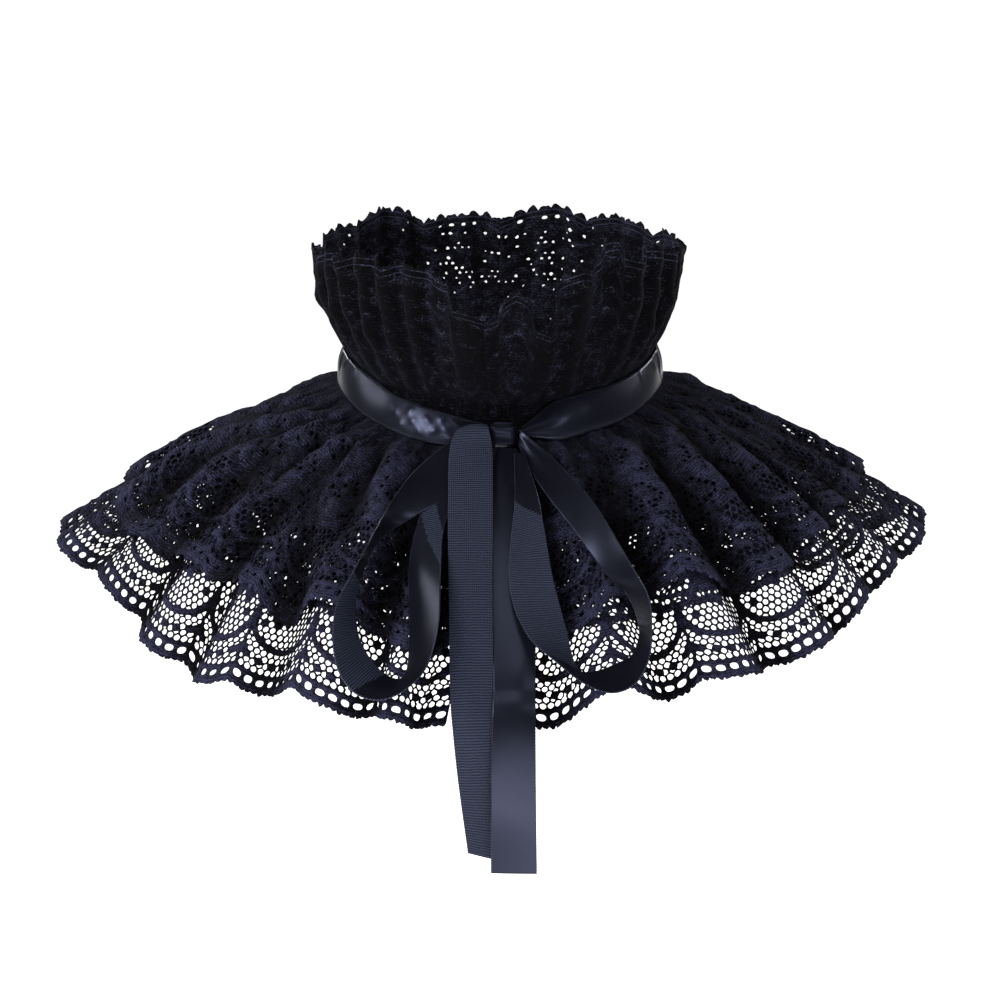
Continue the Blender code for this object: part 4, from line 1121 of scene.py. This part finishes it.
class Nodes:
    """The nodes of a material. Each call adds one, with its inputs linked or set."""

    def __init__(self, name):
        self.material = bpy.data.materials.new(name)
        self.material.use_nodes = True
        self.tree = self.material.node_tree
        self.shader = self.tree.nodes["Principled BSDF"]

    def add(self, kind, *values, **named):
        """A new node: values for its inputs in their order, then inputs or settings by name."""
        node = self.tree.nodes.new("ShaderNode" + kind)
        for key, value in named.items():
            if key in node.inputs:
                self.feed(node.inputs[key], value)
            else:
                setattr(node, key, value)
        for socket, value in zip(node.inputs, values):
            self.feed(socket, value)
        return node

    def feed(self, socket, value):
        """Link a socket to another node's output, or set it to a plain value."""
        if isinstance(value, bpy.types.NodeSocket):
            self.tree.links.new(value, socket)
        else:
            socket.default_value = value

    def math(self, how, a, b=0.0):
        """Output of a math node."""
        return self.add("Math", a, b, operation=how).outputs[0]

    def total(self, start, *terms):
        """A start plus terms: each a value, its weight and the value where it adds nothing."""
        total = start - sum(weight * middle for _, weight, middle in terms)
        for value, weight, _ in terms:
            total = self.add("Math", value, weight, total, operation="MULTIPLY_ADD").outputs[0]
        return total

    def noise(self, wide, tall, detail, roughness=0.5, output="Fac"):
        """Cloudy values on the flat cloth, of a size in millimetres."""
        return self.add("TexNoise", Vector=self.flat(wide, tall), Scale=1.0, Detail=detail,
                        Roughness=roughness).outputs[output]

    def shade(self, **inputs):
        """Feed the inputs of the material's shader."""
        for key, value in inputs.items():
            self.feed(self.shader.inputs[key.replace("_", " ")], value)

    def flat(self, wide, tall):
        """Place on the flat cloth, counted in pieces of the given size in millimetres."""
        place = self.add("UVMap", uv_map="flat").outputs[0]
        scale = (1.0 / (wide * MM), 1.0 / (tall * MM), 1.0)
        return self.add("Mapping", Vector=place, Scale=scale).outputs[0]

    def place(self, axis):
        """Place on the flat cloth along X, across, or Y, up from the hem, in millimetres."""
        return self.add("SeparateXYZ", self.flat(1.0, 1.0)).outputs[axis]

    def wave(self, direction, pitch, distortion):
        """Soft stripes across the flat cloth, a pitch in millimetres apart."""
        return self.add("TexWave", Vector=self.flat(pitch, pitch), bands_direction=direction,
                        Scale=1.0 / WAVE_BAND, Distortion=distortion, Detail=1.0).outputs["Fac"]

    def ramp(self, factor, *stops):
        """Colours that follow a factor, each stop a place and its colour."""
        node = self.add("ValToRGB", factor)
        while len(node.color_ramp.elements) < len(stops):
            node.color_ramp.elements.new(0.5)
        for element, (place, colour) in zip(node.color_ramp.elements, stops):
            element.position = place
            element.color = (*colour, 1.0)
        return node.outputs[0]

    def bump(self, height, distance, strength):
        """Relief from a height, its distance in millimetres."""
        node = self.add("Bump", Height=height, Distance=distance * MM, Strength=strength)
        self.shade(Normal=node.outputs[0])


# Tones of a lace, from the valleys of its pile to its crests
TIER_TONES = ((0.0009, 0.0009, 0.0014), (0.0068, 0.0069, 0.0134), (0.034, 0.035, 0.072))
RUFF_TONES = ((0.0009, 0.0009, 0.0012), (0.0058, 0.0060, 0.0102), (0.034, 0.035, 0.059))
TONE_STOPS = (0.0, 0.45, 1.0)
LACE_TONE = 0.34
RIM_LINES = ((0.4, 0.55), (3.2, 0.45))  # height over the hem and half width of each line; the one at the very edge is partly a cord and partly a painted highlight
PILE_SIZE = (1.7, 1.0)
WORM_SIZE = (3.4, 1.9)
WORM_HALF_WIDE = 0.1
WORM_CLOUD = 0.45  # worms lie only where the cloud is lighter than this
LACE_GLOSS = 0.05
LACE_SHEEN = 0.02
LACE_SHEEN_ROUGHNESS = 0.5
LACE_SHEEN_TINT = (0.35, 0.37, 0.6, 1.0)
TWILL_GLOSS = 0.25
RIBBON_GLOSS_TINT = (0.58, 0.64, 1.0, 1.0)


def lace_material(name, tones, fold_light_and_shade, worms, rim):
    """Matt lace: fibres and knots of thread, lighter on its figures, with painted light on the
    crests of its folds and painted shade in their valleys.

    Worms is the strength of the wavy threads that lie across the cloth, and rim lightens
    the two lines along the hem: a cord, and at the very edge a line that is partly a cord and
    partly a painted highlight. The side that faces the wearer is painted darker, as painted shade.
    """
    made = Nodes(name)
    figure, crest, inner = (
        made.add("Attribute", attribute_name=share).outputs["Fac"]
        for share in ("figure", "crest", "inner")
    )
    fibre = made.noise(1.0, 0.55, detail=4.0, roughness=0.75)
    cloud = made.noise(6.0, 4.0, detail=3.0)
    thread = made.wave("Y", pitch=1.25, distortion=5.0)
    pile = made.add("TexVoronoi", made.flat(*PILE_SIZE), Scale=1.0).outputs["Distance"]
    bent = made.noise(2.0, 2.0, detail=1.0, output="Color")
    bent = made.add("VectorMath", made.flat(*WORM_SIZE), bent, operation="ADD").outputs[0]
    worm = made.add("TexVoronoi", bent, Scale=1.0, feature="DISTANCE_TO_EDGE").outputs["Distance"]
    worm = made.math("MAXIMUM", made.math("SUBTRACT", WORM_HALF_WIDE, worm), 0.0)
    clear = made.math("MAXIMUM", made.math("SUBTRACT", cloud, WORM_CLOUD), 0.0)
    # Lines along the hem: the one at the very edge is partly a cord and partly a painted highlight
    cords_and_highlight = []
    for height, half in RIM_LINES:
        away = made.math("ABSOLUTE", made.math("SUBTRACT", made.place("Y"), height))
        away = made.math("SUBTRACT", 1.0, made.math("DIVIDE", away, half))
        cords_and_highlight.append((made.math("MAXIMUM", away, 0.0), rim, 0.0))
    # crest: painted light on the crests of the folds, painted shade in their valleys
    tone = made.total(LACE_TONE, (fibre, 3.8, 0.5), (thread, 0.32, 0.5), (cloud, 0.8, 0.5),
                      (pile, -0.4, 0.0), (made.math("MULTIPLY", worm, clear), worms, 0.0),
                      # inner: painted shade on the skin that faces the wearer
                      (figure, 0.2, 0.0), (crest, fold_light_and_shade, 0.5), (inner, -0.25, 0.0), *cords_and_highlight)
    relief = made.total(0.0, (fibre, 1.0, 0.0), (thread, 0.25, 0.0), (pile, -0.5, 0.0))
    made.bump(relief, distance=0.5, strength=0.7)
    made.shade(Base_Color=made.ramp(tone, *zip(TONE_STOPS, tones)), Roughness=0.85)
    made.shader.inputs["Specular IOR Level"].default_value = LACE_GLOSS
    made.shader.inputs["Sheen Weight"].default_value = LACE_SHEEN
    made.shader.inputs["Sheen Roughness"].default_value = LACE_SHEEN_ROUGHNESS
    made.shader.inputs["Sheen Tint"].default_value = LACE_SHEEN_TINT
    return made.material


def selvedge(made):
    """Light dots where the weft turns back along both edges of a ribbon."""
    away = made.math("ABSOLUTE", made.math("ADD", made.place("X"), -RIBBON_WIDE / 2))
    edge = made.math("GREATER_THAN", away, RIBBON_WIDE / 2 - SELVEDGE_DEEP)
    return made.math("MULTIPLY", edge, made.wave("Y", SELVEDGE_PITCH, distortion=0.0))


def satin_material(name, gloss):
    """The smooth side of the ribbon, with threads that run along it."""
    made = Nodes(name)
    thread, cloud = made.noise(0.18, 4.0, detail=2.0), made.noise(14.0, 20.0, detail=2.0)
    tone = made.total(0.0, (thread, 0.5, 0.0), (cloud, 0.5, 0.0), (selvedge(made), 0.4, 0.0))
    colour = made.ramp(tone, (0.3, (0.003, 0.0032, 0.0052)), (0.7, (0.0065, 0.007, 0.012)),
                       (1.0, (0.05, 0.053, 0.075)))
    made.bump(thread, distance=0.05, strength=0.25)
    made.shade(Base_Color=colour, Roughness=0.28)
    made.shader.inputs["Specular IOR Level"].default_value = gloss
    made.shader.inputs["Specular Tint"].default_value = RIBBON_GLOSS_TINT
    return made.material


def twill_material():
    """The woven side of the ribbon: slanting ribs and wales."""
    made = Nodes("ribbon_twill")
    rib = made.wave("Y", TWILL_RIB, distortion=1.8)
    wale = made.wave("X", TWILL_WALE, distortion=1.2)
    thread = made.noise(0.5, 0.35, detail=2.0)
    woven = made.total(0.0, (rib, 0.6, 0.0), (wale, 0.27, 0.0))
    tone = made.total(0.0, (woven, 1.0, 0.0), (thread, 0.4, 0.0), (selvedge(made), 0.5, 0.0))
    colour = made.ramp(tone, (0.3, (0.0018, 0.0023, 0.0045)), (0.95, (0.034, 0.040, 0.066)))
    made.bump(woven, distance=0.4, strength=0.85)
    made.shade(Base_Color=colour, Roughness=0.6)
    made.shader.inputs["Specular IOR Level"].default_value = TWILL_GLOSS
    made.shader.inputs["Specular Tint"].default_value = RIBBON_GLOSS_TINT
    return made.material


def floor_material():
    """Plain pale table that glows a little."""
    made = Nodes("floor")
    grain = made.add("TexNoise", Scale=2.0, Detail=2.0).outputs["Fac"]
    colour = made.ramp(grain, (0.3, (0.93, 0.93, 0.93)), (0.7, (0.95, 0.95, 0.95)))
    made.shade(Base_Color=colour, Roughness=0.9, Emission_Color=colour, Emission_Strength=FLOOR_GLOW)
    return made.material


# ---- floor, light and camera ------------------------------------------------
FLOOR_LEVEL = -0.36
FLOOR_REACH = 40.0
CAMERA_DISTANCE = 1.8
CAMERA_ELEVATION = 9.0
CAMERA_TARGET = -0.0519
CAMERA_LENS = 149.04  # with the sensor, in millimetres
CAMERA_SENSOR = 36.0
CAMERA_CLIP = (0.05, 200.0)
LAMP_TARGET = (0.0, 0.0, -0.03)
ROOM_LIGHT = 0.16
FLOOR_GLOW = 0.93  # the floor is a lit white table, as under catalogue photographs

# Soft boxes, row per lamp: name, place, width, height, power in watts
SOFTBOXES = (
    ("key", (-1.0, -0.9, 0.75), 0.55, 0.55, 12.0),
    ("fill", (0.62, -1.05, 0.9), 0.5, 0.5, 3.0),
    ("patch", (-0.82, -0.66, 0.74), 0.5, 0.5, 4.4),
    ("side_left", (-1.2, 0.25, 0.68), 0.28, 0.28, 1.7),
    ("top_front", (-0.08, -0.62, 1.15), 0.4, 0.3, 1.2),
    ("back_left", (-0.85, 1.08, 0.7), 0.4, 0.4, 6.0),
    ("back_right", (1.1, 0.8, 0.85), 0.6, 0.6, 9.0),
    ("strip", (0.05, -1.0, -0.33), 0.8, 0.2, 4.6),
)


def stage():
    """Table, room light and soft boxes."""
    size = FLOOR_REACH
    mesh = bpy.data.meshes.new("floor")
    corners = [(-size, -size), (size, -size), (size, size), (-size, size)]
    mesh.from_pydata([(x, y, FLOOR_LEVEL) for x, y in corners], [], [(0, 1, 2, 3)])
    mesh.materials.append(floor_material())
    linked("floor", mesh)
    scene = bpy.context.scene
    world = bpy.data.worlds.new("studio")
    world.use_nodes = True
    backdrop = world.node_tree.nodes["Background"]
    backdrop.inputs[0].default_value = (1.0, 1.0, 1.0, 1.0)
    backdrop.inputs[1].default_value = ROOM_LIGHT
    scene.world = world
    scene.view_settings.view_transform = "Standard"
    for name, place, wide, tall, power in SOFTBOXES:
        lamp = bpy.data.lights.new(name, "AREA")
        lamp.shape = "RECTANGLE"
        lamp.size, lamp.size_y = wide, tall
        lamp.energy = power
        holder = linked(name, lamp)
        holder.location = place
        aim = Vector(LAMP_TARGET) - Vector(place)
        holder.rotation_euler = aim.to_track_quat("-Z", "Y").to_euler()


def camera():
    """Long lens a little above the collar, square to its front."""
    lens = bpy.data.cameras.new("camera")
    lens.lens = CAMERA_LENS
    lens.sensor_width = CAMERA_SENSOR
    lens.clip_start, lens.clip_end = CAMERA_CLIP
    holder = linked("camera", lens)
    turn = np.radians(CAMERA_ELEVATION)
    target = Vector((0.0, 0.0, CAMERA_TARGET))
    back = Vector((0.0, -np.cos(turn), np.sin(turn)))
    holder.location = target + back * CAMERA_DISTANCE
    holder.rotation_euler = (-back).to_track_quat("-Z", "Y").to_euler()
    bpy.context.scene.camera = holder


# ---- the collar -------------------------------------------------------------
TIER_TOP = 141.0
UPPER_TOP = 100.0
RUFF_TOP = 72.0

# Cuts of lace: height of the strip, net, size of the eyelets and share of them that is
# shut, picots in a repeat, their height, seed
LOWER_CUT = (TIER_TOP, LOWER_NET, 1.0, 0.0, 14, 1.2, 3)
UPPER_CUT = (UPPER_TOP, UPPER_NET, 0.6, 0.2, 11, 2.0, 13)
RUFF_SHUT_CUT = (RUFF_TOP, RUFF_SHUT_NET, 0.4, 0.7, 7, 2.6, 23)
RUFF_OPEN_CUT = (RUFF_TOP, RUFF_OPEN_NET, 0.55, 0.45, 7, 2.6, 33)

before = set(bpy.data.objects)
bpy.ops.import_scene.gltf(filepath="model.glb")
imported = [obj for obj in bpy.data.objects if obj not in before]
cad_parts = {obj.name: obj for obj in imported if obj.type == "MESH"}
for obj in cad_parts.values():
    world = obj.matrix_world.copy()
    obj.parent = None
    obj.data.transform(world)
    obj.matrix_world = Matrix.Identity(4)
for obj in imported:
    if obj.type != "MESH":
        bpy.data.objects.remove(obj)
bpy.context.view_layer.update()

tier_lace = lace_material("black_lace", TIER_TONES, fold_light_and_shade=0.75, worms=14.0, rim=0.1)
ruff_lace = lace_material("ruff_lace", RUFF_TONES, fold_light_and_shade=0.5, worms=40.0, rim=0.75)
satin = satin_material("satin_ribbon", gloss=0.32)
knot_satin = satin_material("knot_satin", gloss=0.1)
twill = twill_material()

for side, word in ((-1, "left"), (1, "right")):
    lower_chart, upper_chart, shut_chart, open_chart = (
        lace_chart(*cut, seed + side)
        for *cut, seed in (LOWER_CUT, UPPER_CUT, RUFF_SHUT_CUT, RUFF_OPEN_CUT)
    )
    lower_form, lower_repeats = tier_form(lower_tier, lower_hem, side, TIER_TOP)
    upper_form, upper_repeats = tier_form(upper_tier, upper_hem, side, UPPER_TOP)
    round_neck, ruff_repeats = ruff_form(side, RUFF_TOP)
    shut = [shut_chart] * (ruff_repeats - RUFF_OPEN_REPEATS)
    for node, form, charts, relief in (
        (f"tier_lower_{word}", lower_form, [lower_chart] * lower_repeats, 1.0),
        (f"tier_upper_{word}", upper_form, [upper_chart] * upper_repeats, 1.0),
        (f"ruff_{word}", round_neck, shut + [open_chart] * RUFF_OPEN_REPEATS, 0.5),
    ):
        piece = lace_piece(node + "_lace", form, charts, side, relief)
        piece.data.materials.append(ruff_lace if form is round_neck else tier_lace)
        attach(piece, "root")
        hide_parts(node)

knot = bow_knot(knot_satin)
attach(knot, "root")
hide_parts("ribbon_knot")
tiers = ["tier_upper_left", "tier_upper_right"]
strips = [("ribbon_neckband", "laid", tiers, neck_ribbon(satin, twill))]
for name, held, *strip in (
    ("loop_left", "folded", LEFT_LOOP, LEFT_LOOP_CREASES, satin, twill, LEFT_LOOP_TURNED),
    ("loop_right", "folded", RIGHT_LOOP, RIGHT_LOOP_CREASES, twill, satin, RIGHT_LOOP_TURNED),
    ("tail_left", "hung", LEFT_TAIL, LEFT_TAIL_CREASES, twill, satin),
    ("tail_right", "hung", RIGHT_TAIL, RIGHT_TAIL_CREASES, satin, twill),
):
    strips.append((f"ribbon_{name}", held, ["ribbon_knot"], ribbon(name, *strip)))
for node, held, rests_on, (piece, length) in strips:
    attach(piece, "root")
    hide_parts(node)

stage()
camera()
